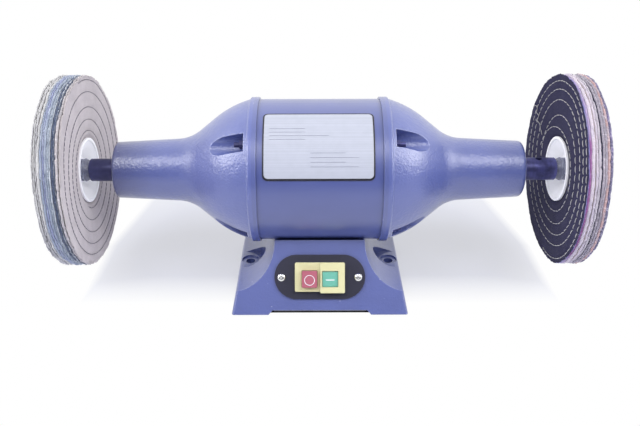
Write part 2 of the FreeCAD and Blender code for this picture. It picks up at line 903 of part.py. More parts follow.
def stator_core():
    """Laminated ring with open slots inside and a notch for each tie bolt outside."""
    core = body("stator_core", z=S["axis_height"])
    faces = rings(core, "YZ_Plane", [(0, 0, S["core_radius"]), (0, 0, S["stator_bore"])])
    padded(core, faces, S["stack_half"] * 2, both=True)
    half = S["slot_width"] / 2
    slot = Drawing(sketch(core, "YZ_Plane"))
    slot.box(-half, half, S["stator_bore"] - 1, S["slot_bottom"])
    repeated(core, pocketed(core, slot.finish(), both=True), S["slot_count"])
    angle = S["tie_angle"]
    reach = S["tie_circle"] + 1
    notch = rings(core, "YZ_Plane", [(reach * cosine(angle), reach * sine(angle), S["notch_radius"])])
    repeated(core, pocketed(core, notch, both=True), S["tie_count"])
    node(core, "stator_core")


def stator_windings():
    """Both end windings, joined by one bar through each slot."""
    coil = body("stator_windings", z=S["axis_height"])
    near, far, bevel = S["stack_half"] + S["winding_gap"], S["winding_end"], S["winding_bevel"]
    inner, outer = S["winding_inner"], S["winding_outer"]
    ends = []
    for side in (-1, 1):
        points = [(near, inner), (far - bevel, inner), (far, inner + bevel), (far, outer - bevel),
                  (far - bevel, outer), (near, outer)]
        ends.append([corner(x * side, y) for x, y in points])
    turned(coil, drawn(coil, "XZ_Plane", *ends))
    bar = Drawing(sketch(coil, "YZ_Plane"))
    half = S["slot_width"] / 2 - S["bar_slack"]
    bar.box(-half, half, S["winding_inner"] + 1, S["slot_bottom"] - S["bar_slack"])
    repeated(coil, padded(coil, bar.finish(), near * 2 + 6, both=True), S["slot_count"])
    node(coil, "stator_windings")


def rotor_core():
    """Laminated rotor with a closed slot for each cage bar."""
    core = body("rotor_core", z=S["axis_height"])
    outer = S["stator_bore"] - S["air_gap"]
    bore = S["core_seat"] + S["seat_gap"] / 2
    padded(core, rings(core, "YZ_Plane", [(0, 0, outer), (0, 0, bore)]), S["stack_half"] * 2, both=True)
    half = S["bar_width"] / 2
    slot = Drawing(sketch(core, "YZ_Plane"))
    slot.box(-half, half, S["bar_inner"], S["bar_outer"])
    repeated(core, pocketed(core, slot.finish(), both=True), S["bar_count"])
    node(core, "rotor_core")


def rotor_cage():
    """Squirrel cage: bars between two end rings, with fan blades cast on the rings."""
    cage = body("rotor_cage", z=S["axis_height"])
    outer = S["stator_bore"] - S["air_gap"] - 1
    near = S["stack_half"]
    far = near + S["cage_ring"]
    loops = []
    for side in (-1, 1):
        points = [(near, S["cage_ring_bore"]), (far, S["cage_ring_bore"]), (far, outer), (near, outer)]
        loops.append([corner(x * side, y) for x, y in points])
    turned(cage, drawn(cage, "XZ_Plane", *loops))
    half = S["bar_width"] / 2 - S["bar_slack"]
    bar = Drawing(sketch(cage, "YZ_Plane"))
    bar.box(-half, half, S["bar_inner"] + S["bar_slack"], S["bar_outer"] - S["bar_slack"])
    repeated(cage, padded(cage, bar.finish(), near * 2 + 4, both=True), S["bar_count"])
    tip = far + S["fan_blade_height"]
    blades = []
    for side in (-1, 1):
        root_in, root_out = (far - 1, S["cage_ring_bore"]), (far - 1, outer)
        points = [root_in, (tip, S["cage_ring_bore"] + 1), (tip, outer - 1), root_out]
        blades.append([corner(x * side, y) for x, y in points])
    blade = padded(cage, drawn(cage, "XZ_Plane", *blades), S["fan_blade_thickness"], both=True)
    repeated(cage, blade, S["fan_blade_count"])
    node(cage, "rotor_cage")


def shaft():
    """Stepped shaft with a spindle at each end and a cross hole for a tommy bar on the right."""
    bar = body("shaft", z=S["axis_height"])
    seat = S["bearing_bore"] - S["seat_gap"] / 2
    bearing_in = BEARING_OUT - S["bearing_width"]

    def half(side):
        """Corners from the middle out to one end."""
        shift = S["outboard_shift"]
        outboard = [
            (S["shaft_shoulder"] - S["shaft_chamfer"], S["shaft_radius"]),
            (S["shaft_shoulder"], S["shaft_radius"] - S["shaft_chamfer"]),
            (S["shaft_shoulder"], S["spindle_radius"]),
        ]
        tip = [
            (S["spindle_end"] - S["spindle_chamfer"], S["spindle_radius"]),
            (S["spindle_end"], S["spindle_radius"] - S["spindle_chamfer"]),
            (S["spindle_end"], ZERO),
        ]
        inboard = [
            (S["core_seat_end"], S["core_seat"]),
            (S["core_seat_end"], S["shoulder_radius"]),
            (bearing_in, S["shoulder_radius"]),
            (bearing_in, seat),
            (BEARING_OUT, seat),
            (BEARING_OUT, S["shaft_radius"]),
        ]
        steps = [corner(x * side, y) for x, y in inboard]
        steps += [corner(x * side + shift, y) for x, y in outboard]
        return steps + [corner(x * side, y) for x, y in tip]

    turned(bar, drawn(bar, "XZ_Plane", half(1) + half(-1)[::-1]))
    place_x = S["tommy_place"] + S["outboard_shift"]
    pocketed(bar, rings(bar, "XY_Plane", [(place_x, 0, S["tommy_hole"])]), both=True)
    node(bar, "shaft")


# --- spindle pieces -----------------------------------------------------------------------------------------


def outboard(label, side, points):
    """A turned piece on one spindle; points run from the side of the motor outward."""
    part = body(label, x=S["outboard_shift"], z=S["axis_height"])
    turned(part, drawn(part, "XZ_Plane", [corner(p[0] * side, *p[1:]) for p in points]))
    return node(part, label)


def spindle_pieces(name, side):
    """Collar, two dished flanges, buff, washer and nut of one spindle."""
    bore = S["spindle_radius"] + S["seat_gap"]
    start = S["shaft_shoulder"]
    hub_in = start + S["collar_length"]
    sheet_t = S["flange_sheet"]
    hub_out = hub_in + sheet_t
    neck_end = start + S["collar_neck_length"]
    cone_end = neck_end + S["collar_cone_length"]
    notch = cone_end + S["collar_notch_length"]
    outboard(f"{name}_spindle_collar", side, [
        (start, bore),
        (start, S["collar_neck_radius"]),
        (neck_end, S["collar_neck_radius"]),
        (cone_end, S["collar_cone_radius"]),
        (notch, S["collar_notch_radius"]),
        (notch + S["collar_step_length"], S["collar_boss_radius"]),
        (hub_in, S["collar_boss_radius"]),
        (hub_in, bore),
    ])
    rim = S["flange_rim"]
    lip = S["flange_radius"] - S["flange_lip"]
    outboard(f"{name}_inner_flange", side, [
        (rim, lip),
        (rim, S["flange_radius"]),
        (rim + sheet_t, S["flange_radius"]),
        (rim + sheet_t * 2, lip),
        (hub_out, S["flange_hub"]),
        (hub_out, bore),
        (hub_in, bore),
        (hub_in, S["flange_hub"] - 1),
        (rim + sheet_t - 0.5, lip - 1),
    ])
    face, back = S[f"{name}_buff_face"], S[f"{name}_buff_back"]
    clamp = back - S["clamp_inset"]
    press = clamp - S["outer_dish"]
    slack = S["cloth_gap"]
    hole = bore + S["buff_play"]
    outboard(f"{name}_buff", side, [
        (face + S["buff_dish"], S["flange_radius"] + 4),
        (face, S["buff_radius"], S["buff_round"]),
        (back, S["buff_radius"], S["buff_round"]),
        (clamp, S["flange_radius"] + 3),
        (clamp - slack, S["flange_radius"] - 1),
        (press - slack, S["flange_hub"]),
        (press - slack, hole),
        (hub_out + slack, hole),
        (hub_out + slack, S["flange_hub"] + 0.4),
        (rim + sheet_t * 2 + slack, lip + 0.4),
        (rim + sheet_t + slack, S["flange_radius"] + 0.5),
    ])
    outboard(f"{name}_outer_flange", side, [
        (press, bore),
        (press, S["flange_hub"]),
        (clamp, S["flange_radius"] - 2),
        (clamp, S["flange_radius"]),
        (clamp + sheet_t, S["flange_radius"]),
        (clamp + sheet_t, S["flange_radius"] - 2),
        (press + sheet_t, S["flange_hub"]),
        (press + sheet_t, bore),
    ])
    seat = press + sheet_t
    outboard(f"{name}_nut_washer", side, [
        (seat, bore),
        (seat, S["flange_hub"] - 0.5),
        (seat + S["nut_washer"], S["flange_hub"] - 0.5),
        (seat + S["nut_washer"], bore),
    ])
    spindle_nut(name, side, seat + S["nut_washer"], bore)


def spindle_nut(name, side, start, bore):
    """Hexagon nut with its corners chamfered at both faces."""
    nut = body(f"{name}_spindle_nut", x=S["outboard_shift"], z=S["axis_height"])
    across = S["nut_flats"] / cosine(HALF_SIDE) / 2
    turn = Drawing(sketch(nut, "XZ_Plane"))
    end = start + S["nut_height"]
    cone = (across - S["nut_flats"] / 2) / 2
    points = [(start, bore), (start, S["nut_flats"] / 2), (start + cone, across), (end - cone, across),
              (end, S["nut_flats"] / 2), (end, bore)]
    turn.outline([corner(x * side, y) for x, y in points])
    turned(nut, turn.finish())
    angles = [HALF_SIDE * 2 * i for i in range(HEXAGON)]
    hexagon = [corner(across * cosine(a), across * sine(a)) for a in angles]
    trim = Drawing(sketch(nut, "YZ_Plane"))
    trim.circle(0, 0, across + 5)
    trim.outline(hexagon)
    pocketed(nut, trim.finish(), both=True)
    node(nut, f"{name}_spindle_nut")


# --- pedestal -----------------------------------------------------------------------------------------------


def face_line(height, inset=ZERO):
    """The Y of the leaning front plane at a height, moved inward by inset."""
    return size(height) * tangent(LEAN) + inset / cosine(LEAN) - S["base_front"]


def pedestal_block():
    """Outer form: cove-flanked block with a leaning front, cut to the drum's saddle."""
    cast = body("pedestal_block")
    top = S["axis_height"] - S["drum_radius"] / 2
    slope = S["relief_height"]
    right = [
        corner(S["relief_half"], S["relief_height"]),
        corner(S["relief_half"] + slope, ZERO),
        corner(S["foot_half"], ZERO),
        corner(S["flange_top_half"], S["flange_top"], bend=(S["cove_radius"], -1)),
        corner(S["neck_half"], S["cove_top"]),
        corner(S["neck_half"], top),
    ]
    left = [
        corner(-S["neck_half"], top),
        corner(-S["neck_half"], S["cove_top"], bend=(S["cove_radius"], -1)),
        corner(-S["flange_top_half"], S["flange_top"]),
        corner(-S["foot_half"], ZERO),
        corner(-S["relief_half"] - slope, ZERO),
        corner(-S["relief_half"], S["relief_height"]),
    ]
    reach = S["base_front"] + OVERRUN
    padded(cast, drawn(cast, "XZ_Plane", right + left), reach * 2, both=True)
    low, high, past = -OVERRUN, top + OVERRUN, reach + OVERRUN
    edge = S["base_back"]
    front = [(face_line(low), low), (face_line(high), high), (-past, high), (-past, low)]
    back = [(edge, low), (past, low), (past, high), (edge, high)]
    front, back = ([corner(*spot) for spot in outline] for outline in (front, back))
    pocketed(cast, drawn(cast, "YZ_Plane", front, back), both=True)
    wide, close = S["drum_radius"] + S["saddle_gap"], S["drum_radius"] + S["seat_gap"]
    land, axis = S["saddle_land_half"], S["axis_height"]
    floor, lip = axis - root(wide * wide - land * land), axis - root(close * close - land * land)
    saddle = [
        corner(-wide, axis, bend=(wide, 1)),
        corner(-land, floor),
        corner(-land, lip, bend=(close, 1)),
        corner(land, lip),
        corner(land, floor, bend=(wide, 1)),
        corner(wide, axis),
    ]
    pocketed(cast, drawn(cast, "YZ_Plane", saddle), both=True)
    spots = [(S["lug_place"] * side, S["lug_line"], S["spotface_radius"]) for side in (-1, 1)]
    pocketed(cast, rings(cast, "XY_Plane", spots, height=S["spotface_floor"]), back=True)
    seats = [(S["lug_place"] * side, S["lug_line"], S["washer_seat_radius"]) for side in (-1, 1)]
    seat_floor = S["spotface_floor"] - S["washer_seat_depth"]
    pocketed(cast, rings(cast, "XY_Plane", seats, height=seat_floor), back=True)
    round_pedestal(cast)
    return cast


def round_pedestal(cast):
    """Round the corners of both feet and the edges of the coves."""
    doc.recompute()
    high = SIZES["flange_top"]
    chosen = []
    for i, edge in enumerate(cast.Tip.Shape.Edges, start=1):
        box = edge.BoundBox
        outside = min(abs(box.XMin), abs(box.XMax)) > SIZES["flange_top_half"] - 1
        post = outside and box.ZMin < 0.1 and box.ZMax > high - 1
        brow = outside and abs(box.ZMin - high) < 0.5 and box.YLength > SIZES["base_front"]
        if post or brow:
            chosen.append(f"Edge{i}")
    rounded = cast.newObject("PartDesign::Fillet", "pedestal_rounds")
    rounded.Base = (cast.Group[-2], chosen)
    rounded.setExpression("Radius", S["base_round"].text)
    cast.Tip = rounded


def pedestal_cavity():
    """Room inside the pedestal for the switch, the capacitor and the terminals."""
    room = body("pedestal_cavity")
    wall, top = S["base_wall"], S["axis_height"] - S["drum_radius"] / 2
    inside = [
        corner(face_line(-1, wall), -1),
        corner(S["base_back"] - wall, -1),
        corner(S["base_back"] - wall, top),
        corner(face_line(top, wall), top),
    ]
    padded(room, drawn(room, "YZ_Plane", inside), (S["neck_half"] - wall) * 2, both=True)
    roof = S["drum_radius"] + S["saddle_gap"] + wall
    pocketed(room, rings(room, "YZ_Plane", [(0, S["axis_height"], roof)]), both=True)
    return room


def side_pocket(name, side):
    """Hollow under one foot, with a boss left round its bolt hole."""
    near = S["neck_half"] - S["base_wall"] + S["rib_wall"]
    low, high = sorted((near * side, (S["foot_half"] - S["side_wall"]) * side), key=lambda item: item.value)
    front = face_line(S["side_pocket_depth"], S["base_wall"])
    room = block(f"{name}_pocket_room", low, high, front, S["base_back"] - S["base_wall"], -1,
                 S["side_pocket_depth"])
    boss = rod(f"{name}_lug_boss", S["lug_boss"], S["side_pocket_depth"] + 2, S["lug_place"] * side,
               S["lug_line"], -1)
    return cut(f"{name}_side_pocket", room, boss)


def cover_screw_places():
    rows = (S["cover_screw_front"], S["cover_screw_back"])
    return [(S["cover_screw_x"] * side, row) for side in (-1, 1) for row in rows]


def base_casting():
    """The pedestal with all its hollows and holes."""
    roof = S["axis_height"] - S["drum_radius"] - S["saddle_gap"] - S["base_wall"]
    tools = [pedestal_cavity()]
    for name, side in SIDES.items():
        tools.append(side_pocket(name, side))
        lug_x = S["lug_place"] * side
        tools.append(rod(f"{name}_lug_hole", S["lug_hole"], LONG_REACH, lug_x, S["lug_line"], -1))
        hole = S["drum_bolt_radius"] + S["screw_clearance"]
        bolt_x = S["drum_bolt_x"] * side
        tools.append(rod(f"{name}_drum_bolt_hole", hole, LONG_REACH / 2, bolt_x, 0, roof - 5))
        pilot = rod(f"{name}_plate_screw_hole", S["plate_screw_radius"] + S["seat_gap"], OVERRUN * 2)
        shift_on_face(pilot, S["plate_screw_spacing"] / 2 * side, -OVERRUN - 2)
        tools.append(pilot)
    for i, (x, y) in enumerate(cover_screw_places()):
        radius = S["cover_screw_radius"] + S["seat_gap"]
        tools.append(rod(f"cover_screw_hole_{i}", radius, S["cover_screw_depth"] + 4, x, y, -1))
    window = bind(doc.addObject("Part::Box", "window"), Length=S["window_length"], Width=S["window_width"],
                  Height=S["base_wall"] * 2 + 4)
    lay_on_face(window)
    shift_on_face(window, -S["window_length"] / 2, -S["base_wall"] * 2, -S["window_width"] / 2)
    tools.append(window)
    tools.append(rod("gland_hole", S["gland_thread"] + S["seat_gap"], LONG_REACH / 2, S["gland_x"],
                     S["base_back"] - S["base_wall"] - OVERRUN, S["gland_z"], ALONG_Y))
    node(cut("base_casting", pedestal_block(), fused("pedestal_tools", tools)), "base_casting")


def shift_on_face(item, across, outward, up=ZERO):
    """Move an object on the leaning face: across along X, up the slope and outward along its normal."""
    across, outward, up = size(across), size(outward), size(up)
    y = FACE_Y + up * sine(LEAN) - outward * cosine(LEAN)
    z = FACE_Z + up * cosine(LEAN) + outward * sine(LEAN)
    place(item, across, y, z, FreeCAD.Vector(1, 0, 0), FACE_TURN)
    return item


def base_cover():
    """Sheet cover screwed under the pedestal's relief."""
    top = S["relief_height"]
    low = top - S["cover_sheet"]
    x = S["relief_half"] - S["cover_inset"]
    plate = block("cover_sheet_blank", -x, x, face_line(0) + S["cover_inset"] * 2,
                  S["base_back"] - S["cover_inset"], low, top)
    holes = []
    for i, (x, y) in enumerate(cover_screw_places()):
        holes.append(rod(f"cover_hole_{i}", S["cover_screw_radius"] + S["screw_clearance"], 6, x, y, low - 1))
    node(cut("base_cover", plate, fused("cover_holes", holes)), "base_cover")
    screws = []
    for i, (x, y) in enumerate(cover_screw_places()):
        head_z = low - S["cover_screw_head_height"]
        head = rod(f"cover_head_{i}", S["cover_screw_head"], S["cover_screw_head_height"], x, y, head_z)
        shank = rod(f"cover_shank_{i}", S["cover_screw_radius"], S["cover_screw_depth"], x, y, low)
        screws.append(fused(f"cover_screw_{i}", [head, shank]))
    node(group("base_cover_screws", screws), "base_cover_screws")


def drum_bolts():
    """Bolts with washers that hold the drum down on the pedestal's saddle."""
    ceiling = S["axis_height"] - S["drum_radius"] - S["saddle_gap"] - S["base_wall"]
    seat = ceiling - S["washer_sheet"]
    tip = S["axis_height"] - S["drum_radius"] + S["drum_wall"] - S["screw_clearance"]
    bolts, washers = [], []
    for name, side in SIDES.items():
        x = S["drum_bolt_x"] * side
        head = rod(f"{name}_bolt_head", S["drum_bolt_head"], S["drum_bolt_head_height"], x, 0,
                   seat - S["drum_bolt_head_height"])
        shank = rod(f"{name}_bolt_shank", S["drum_bolt_radius"], tip - seat, x, 0, seat)
        bolts.append(fused(f"{name}_drum_bolt", [head, shank]))
        disc = rod(f"{name}_washer_disc", S["drum_bolt_washer"], S["washer_sheet"], x, 0, seat)
        hole = rod(f"{name}_washer_hole", S["drum_bolt_radius"] + S["screw_clearance"], 6, x, 0, seat - 2)
        washers.append(cut(f"{name}_drum_washer", disc, hole))
    node(group("drum_bolts", bolts), "drum_bolts")
    node(group("drum_bolt_washers", washers), "drum_bolt_washers")


# --- switch -------------------------------------------------------------------------------------------------


def face_body(label):
    """A body drawn flat on the leaning face: X across, Y up the slope, Z outward."""
    return lay_on_face(doc.addObject("PartDesign::Body", label))


def flat_box(owner, x1, x2, y1, y2, z1, z2, fillet=None):
    """Pad a box between two heights above the leaning face."""
    drawing = Drawing(sketch(owner, "XY_Plane", size(z1)))
    spots = [(x1, y1), (x2, y1), (x2, y2), (x1, y2)]
    drawing.outline([corner(x, y, fillet) for x, y in spots])
    return padded(owner, drawing.finish(), size(z2) - z1)


def flat_hole(owner, x1, x2, y1, y2):
    """Cut a rectangular hole right through."""
    drawing = Drawing(sketch(owner, "XY_Plane"))
    drawing.box(x1, x2, y1, y2)
    return pocketed(owner, drawing.finish(), both=True)


def switch_plate():
    """Oval plate with a window for the switch and two screw holes."""
    plate = face_body("switch_plate")
    half, wide = S["plate_length"] / 2, S["plate_width"] / 2
    spots = [(-half, -wide), (half, -wide), (half, wide), (-half, wide)]
    oval = [corner(x, y, S["plate_corner"]) for x, y in spots]
    padded(plate, drawn(plate, "XY_Plane", oval), S["plate_sheet"])
    x, y = S["window_length"] / 2, S["window_width"] / 2
    flat_hole(plate, -x, x, -y, y)
    hole = S["plate_screw_radius"] + S["screw_clearance"]
    spots = [(S["plate_screw_spacing"] / 2 * side, 0, hole) for side in (-1, 1)]
    pocketed(plate, rings(plate, "XY_Plane", spots), both=True)
    node(plate, "switch_plate")
    screws = []
    for name, side in SIDES.items():
        head = rod(f"{name}_plate_screw_head", S["plate_screw_head"], S["plate_screw_head_height"])
        shank = rod(f"{name}_plate_screw_shank", S["plate_screw_radius"], S["plate_screw_depth"])
        x = S["plate_screw_spacing"] / 2 * side
        shift_on_face(head, x, S["plate_sheet"])
        shift_on_face(shank, x, S["plate_sheet"] - S["plate_screw_depth"])
        screws.append(fused(f"{name}_plate_screw", [head, shank]))
    node(group("switch_plate_screws", screws), "switch_plate_screws")


def switch_housing():
    """Moulded bezel with a well for each button and a raised collar round the start button."""
    housing = face_body("switch_housing")
    x, y = S["housing_length"] / 2, S["housing_width"] / 2
    low = S["plate_sheet"]
    high = low + S["housing_height"]
    flat_box(housing, -x, x, -y, y, low, high, Size(1.5, "1.5"))
    flat_box(housing, S["button_gap"], x, -y - S["collar_drop"], y, high - 1, high + S["collar_rise"],
             Size(1.2, "1.2"))
    x, y = S["skirt_length"] / 2, S["skirt_width"] / 2
    flat_box(housing, -x, x, -y, y, -S["housing_skirt"], low + 1)
    for name, side in (("stop", -1), ("start", 1)):
        half_x = S[f"{name}_length"] / 2 + S["button_gap"]
        half_y = S[f"{name}_width"] / 2 + S["button_gap"]
        middle, low_y = S["button_place"] * side, -S["button_drop"]
        flat_hole(housing, middle - half_x, middle + half_x, low_y - half_y, low_y + half_y)
    node(housing, "switch_housing")


def button(name, side):
    """A push button in its well."""
    cap = face_body(f"{name}_button")
    x, y = S[f"{name}_length"] / 2, S[f"{name}_width"] / 2
    across, up = S["button_place"] * side, -S["button_drop"]
    low, high = S["plate_sheet"] - S["button_tail"], S["plate_sheet"] + S[f"{name}_height"]
    flat_box(cap, across - x, across + x, up - y, up + y, low, high, Size(0.8, "0.8"))
    node(cap, f"{name}_button")


def switch_contact_block():
    """Switch body behind the bezel with six blade terminals."""
    contact = face_body("switch_contact_block")
    x, y = S["skirt_length"] / 2, S["skirt_width"] / 2
    top = -S["housing_skirt"]
    flat_box(contact, -x, x, -y, y, top - S["contact_depth"], top, Size(1.0, "1.0"))
    blades = Drawing(sketch(contact, "XY_Plane", top - S["contact_depth"] - S["blade_length"]))
    wide, thin = S["blade_width"] / 2, S["blade_sheet"] / 2
    for i in (-1, 0, 1):
        for j in (-1, 1):
            middle_x, middle_y = S["blade_spacing"] * i, S["skirt_width"] / 4 * j
            blades.box(middle_x - wide, middle_x + wide, middle_y - thin, middle_y + thin)
    padded(contact, blades.finish(), S["blade_length"] + 1)
    node(contact, "switch_contact_block")


# --- electrical pieces --------------------------------------------------------------------------------------


def capacitor():
    """Run capacitor lying on the cover under a strap clamp with one screw."""
    floor = S["relief_height"]
    radius, sheet_t = S["capacitor_radius"], S["clamp_sheet"]
    strap = radius + S["seat_gap"] + sheet_t
    x, y, z = S["capacitor_x"], S["capacitor_y"], floor + strap
    low = x - S["capacitor_length"] / 2
    can = rod("capacitor_can", radius, S["capacitor_length"], low, y, z, ALONG_X)
    tip = low + S["capacitor_length"]
    stud = rod("capacitor_stud", S["stud_radius"], S["stud_length"], tip, y, z, ALONG_X)
    node(fused("capacitor", [can, stud]), "capacitor")
    wide = S["clamp_width"]
    tab_end = y - strap - S["clamp_tab"] + 4
    hoop = rod("clamp_hoop", strap, wide, x - wide / 2, y, z, ALONG_X)
    tab = block("clamp_tab", x - wide / 2, x + wide / 2, tab_end, y, floor, floor + sheet_t)
    inside = rod("clamp_inside", radius + S["seat_gap"], wide + 4, x - wide / 2 - 2, y, z, ALONG_X)
    screw_y = tab_end + 4
    hole = rod("clamp_hole", S["clamp_screw_radius"] + S["screw_clearance"], 8, x, screw_y, floor - 3)
    node(cut("capacitor_clamp", fused("clamp_blank", [hoop, tab]), fused("clamp_tools", [inside, hole])),
         "capacitor_clamp")
    head = rod("clamp_screw_head", S["clamp_screw_head"], S["clamp_screw_head_height"], x, screw_y,
               floor + sheet_t)
    shank = rod("clamp_screw_shank", S["clamp_screw_radius"], sheet_t, x, screw_y, floor)
    node(fused("capacitor_clamp_screw", [head, shank]), "capacitor_clamp_screw")


def terminal_block():
    """Terminal strip with three wire ways, each with its screw."""
    floor = S["relief_height"]
    half_x, half_y = S["terminal_length"] / 2, S["terminal_width"] / 2
    y, high = S["terminal_y"], floor + S["terminal_height"]
    blank = block("terminal_blank", -half_x, half_x, y - half_y, y + half_y, floor, high)
    ways = []
    for i in (-1, 0, 1):
        x = S["terminal_length"] / 3 * i
        ways.append(rod(f"wire_way_{i + 1}", S["wire_way"], S["terminal_width"] + OVERRUN,
                        x, y - half_y - OVERRUN / 2, floor + S["terminal_height"] / 3, ALONG_Y))
        ways.append(rod(f"screw_way_{i + 1}", S["screw_way"], OVERRUN, x, y, high - S["screw_way_depth"]))
    node(cut("terminal_block", blank, fused("terminal_ways", ways)), "terminal_block")


def cable_gland():
    """Cable gland through the back wall, with its nut inside."""
    wall_in = S["base_back"] - S["base_wall"]
    gland = body("cable_gland", S["gland_x"], S["base_back"], S["gland_z"])
    face, nose = S["gland_flange_width"], S["gland_nose_length"]
    deep = S["base_wall"] + S["gland_nut_width"] + 1
    profile = [
        corner(S["gland_bore"], -deep),
        corner(S["gland_thread"], -deep),
        corner(S["gland_thread"], ZERO),
        corner(S["gland_flange"], ZERO),
        corner(S["gland_flange"], face),
        corner(S["gland_nose"], face),
        corner(S["gland_nose"] - 1.5, nose),
        corner(S["gland_bore"], nose),
    ]
    turned(gland, drawn(gland, "XY_Plane", profile), axis="V_Axis")
    node(gland, "cable_gland")
    x, z, wide = S["gland_x"], S["gland_z"], S["gland_nut_width"]
    blank = rod("gland_nut_blank", S["gland_flange"], wide, x, wall_in - wide, z, ALONG_Y)
    thread = rod("gland_nut_thread", S["gland_thread"] + S["seat_gap"], wide + 4, x, wall_in - wide - 2, z,
                 ALONG_Y)
    node(cut("cable_gland_nut", blank, thread), "cable_gland_nut")


# --- build --------------------------------------------------------------------------------------------------


def build():
    fill_sheet()
    motor_drum()
    for name, side in SIDES.items():
        end_bell(name, side)
    tie_bolts()
    rating_plate()
    bearings()
    stator_core()
    stator_windings()
    rotor_core()
    rotor_cage()
    shaft()
    for name, side in SIDES.items():
        spindle_pieces(name, side)
    base_casting()
    base_cover()
    drum_bolts()
    switch_plate()
    switch_housing()
    button("stop", -1)
    button("start", 1)
    switch_contact_block()
    capacitor()
    terminal_block()
    cable_gland()
    doc.recompute()


def check():
    """Stop if any object failed or any sub-part has no sound shape."""
    failed = [item.Label for item in doc.Objects if {"Invalid", "Error"} & set(item.State)]
    if failed:
        raise SystemExit(f"failed objects: {failed}")
    for item in nodes:
        if item.Shape.isNull() or not item.Shape.isValid() or not item.Shape.Solids:
            raise SystemExit(f"{item.Label} has no sound shape")


def write():
    os.makedirs(PARTS, exist_ok=True)
    for item in nodes:
        item.Shape.exportStep(os.path.join(PARTS, f"{item.Label}.step"))
        box = item.Shape.BoundBox
        print(f"{item.Label}: {len(item.Shape.Solids)} solid(s), {item.Shape.Volume / 1000:.2f} cm3, "
              f"x {box.XMin:.1f}..{box.XMax:.1f} y {box.YMin:.1f}..{box.YMax:.1f} "
              f"z {box.ZMin:.1f}..{box.ZMax:.1f}")
    print(f"{len(nodes)} sub-parts")


build()
check()
write()
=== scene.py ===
"""Looks of a double-ended dental polishing lathe, dressed round its packed construction model.

Lengths are in metres in the model's own frame: +X runs along the shaft to the right, +Y to the back and +Z
up, and the origin lies on the floor below the middle of the motor.  A number times MM is a length in
millimetres.
"""

import logging
import math
from collections.abc import Callable, Iterable, Iterator, Sequence
from contextlib import contextmanager
from dataclasses import dataclass, field
from enum import Enum

import bpy
import numpy as np
from mathutils import Matrix, Vector

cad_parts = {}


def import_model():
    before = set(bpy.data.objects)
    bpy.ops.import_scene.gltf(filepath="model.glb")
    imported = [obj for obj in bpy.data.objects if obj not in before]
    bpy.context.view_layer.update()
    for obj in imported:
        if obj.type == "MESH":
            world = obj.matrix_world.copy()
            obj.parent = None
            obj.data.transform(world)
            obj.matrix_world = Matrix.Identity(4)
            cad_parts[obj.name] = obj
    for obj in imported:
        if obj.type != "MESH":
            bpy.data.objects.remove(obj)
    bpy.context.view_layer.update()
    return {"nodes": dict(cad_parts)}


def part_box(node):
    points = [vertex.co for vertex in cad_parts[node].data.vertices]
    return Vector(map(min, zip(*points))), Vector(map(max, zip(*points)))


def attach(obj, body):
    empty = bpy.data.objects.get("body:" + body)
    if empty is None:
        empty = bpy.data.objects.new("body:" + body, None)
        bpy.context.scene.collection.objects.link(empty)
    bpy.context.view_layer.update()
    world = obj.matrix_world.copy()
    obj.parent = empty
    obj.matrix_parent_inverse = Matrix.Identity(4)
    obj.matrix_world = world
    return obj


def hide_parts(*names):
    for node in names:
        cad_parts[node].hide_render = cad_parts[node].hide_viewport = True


LOG = logging.getLogger("polishing_lathe")
MM = 0.001
TURN = 2 * math.pi
QUARTERS = 4
SIDES = {"left": -1, "right": 1}
SHAFT_HEIGHT = 124.4 * MM
WELD = MM / 1000
FAR = 1.0

Colour = tuple[float, float, float, float]
Point = tuple[float, float, float]
Pair = tuple[float, float]
Value = object
Inputs = dict[str, Value]
Piece = bpy.types.Object
Node = bpy.types.Node
Socket = bpy.types.NodeSocket
Tree = bpy.types.NodeTree
Sockets = bpy.types.bpy_prop_collection

BLACK = (0.0, 0.0, 0.0, 1.0)
WHITE = (1.0, 1.0, 1.0, 1.0)


def srgb(red: int, green: int, blue: int) -> Colour:
    """Linear colour of an sRGB triple.

    Args:
        red: Red, 0 to 255.
        green: Green, 0 to 255.
        blue: Blue, 0 to 255.

    Returns:
        The colour as linear red, green, blue and alpha.
    """
    parts = [part / 255 for part in (red, green, blue)]
    linear = [p / 12.92 if p <= 0.04045 else ((p + 0.055) / 1.055) ** 2.4 for p in parts]
    return (*linear, 1.0)


def toned(colour: Colour, factor: float) -> Colour:
    """A colour darkened by a factor."""
    return (*(part * factor for part in colour[:3]), 1.0)


# --- node wiring --------------------------------------------------------------------------------------------


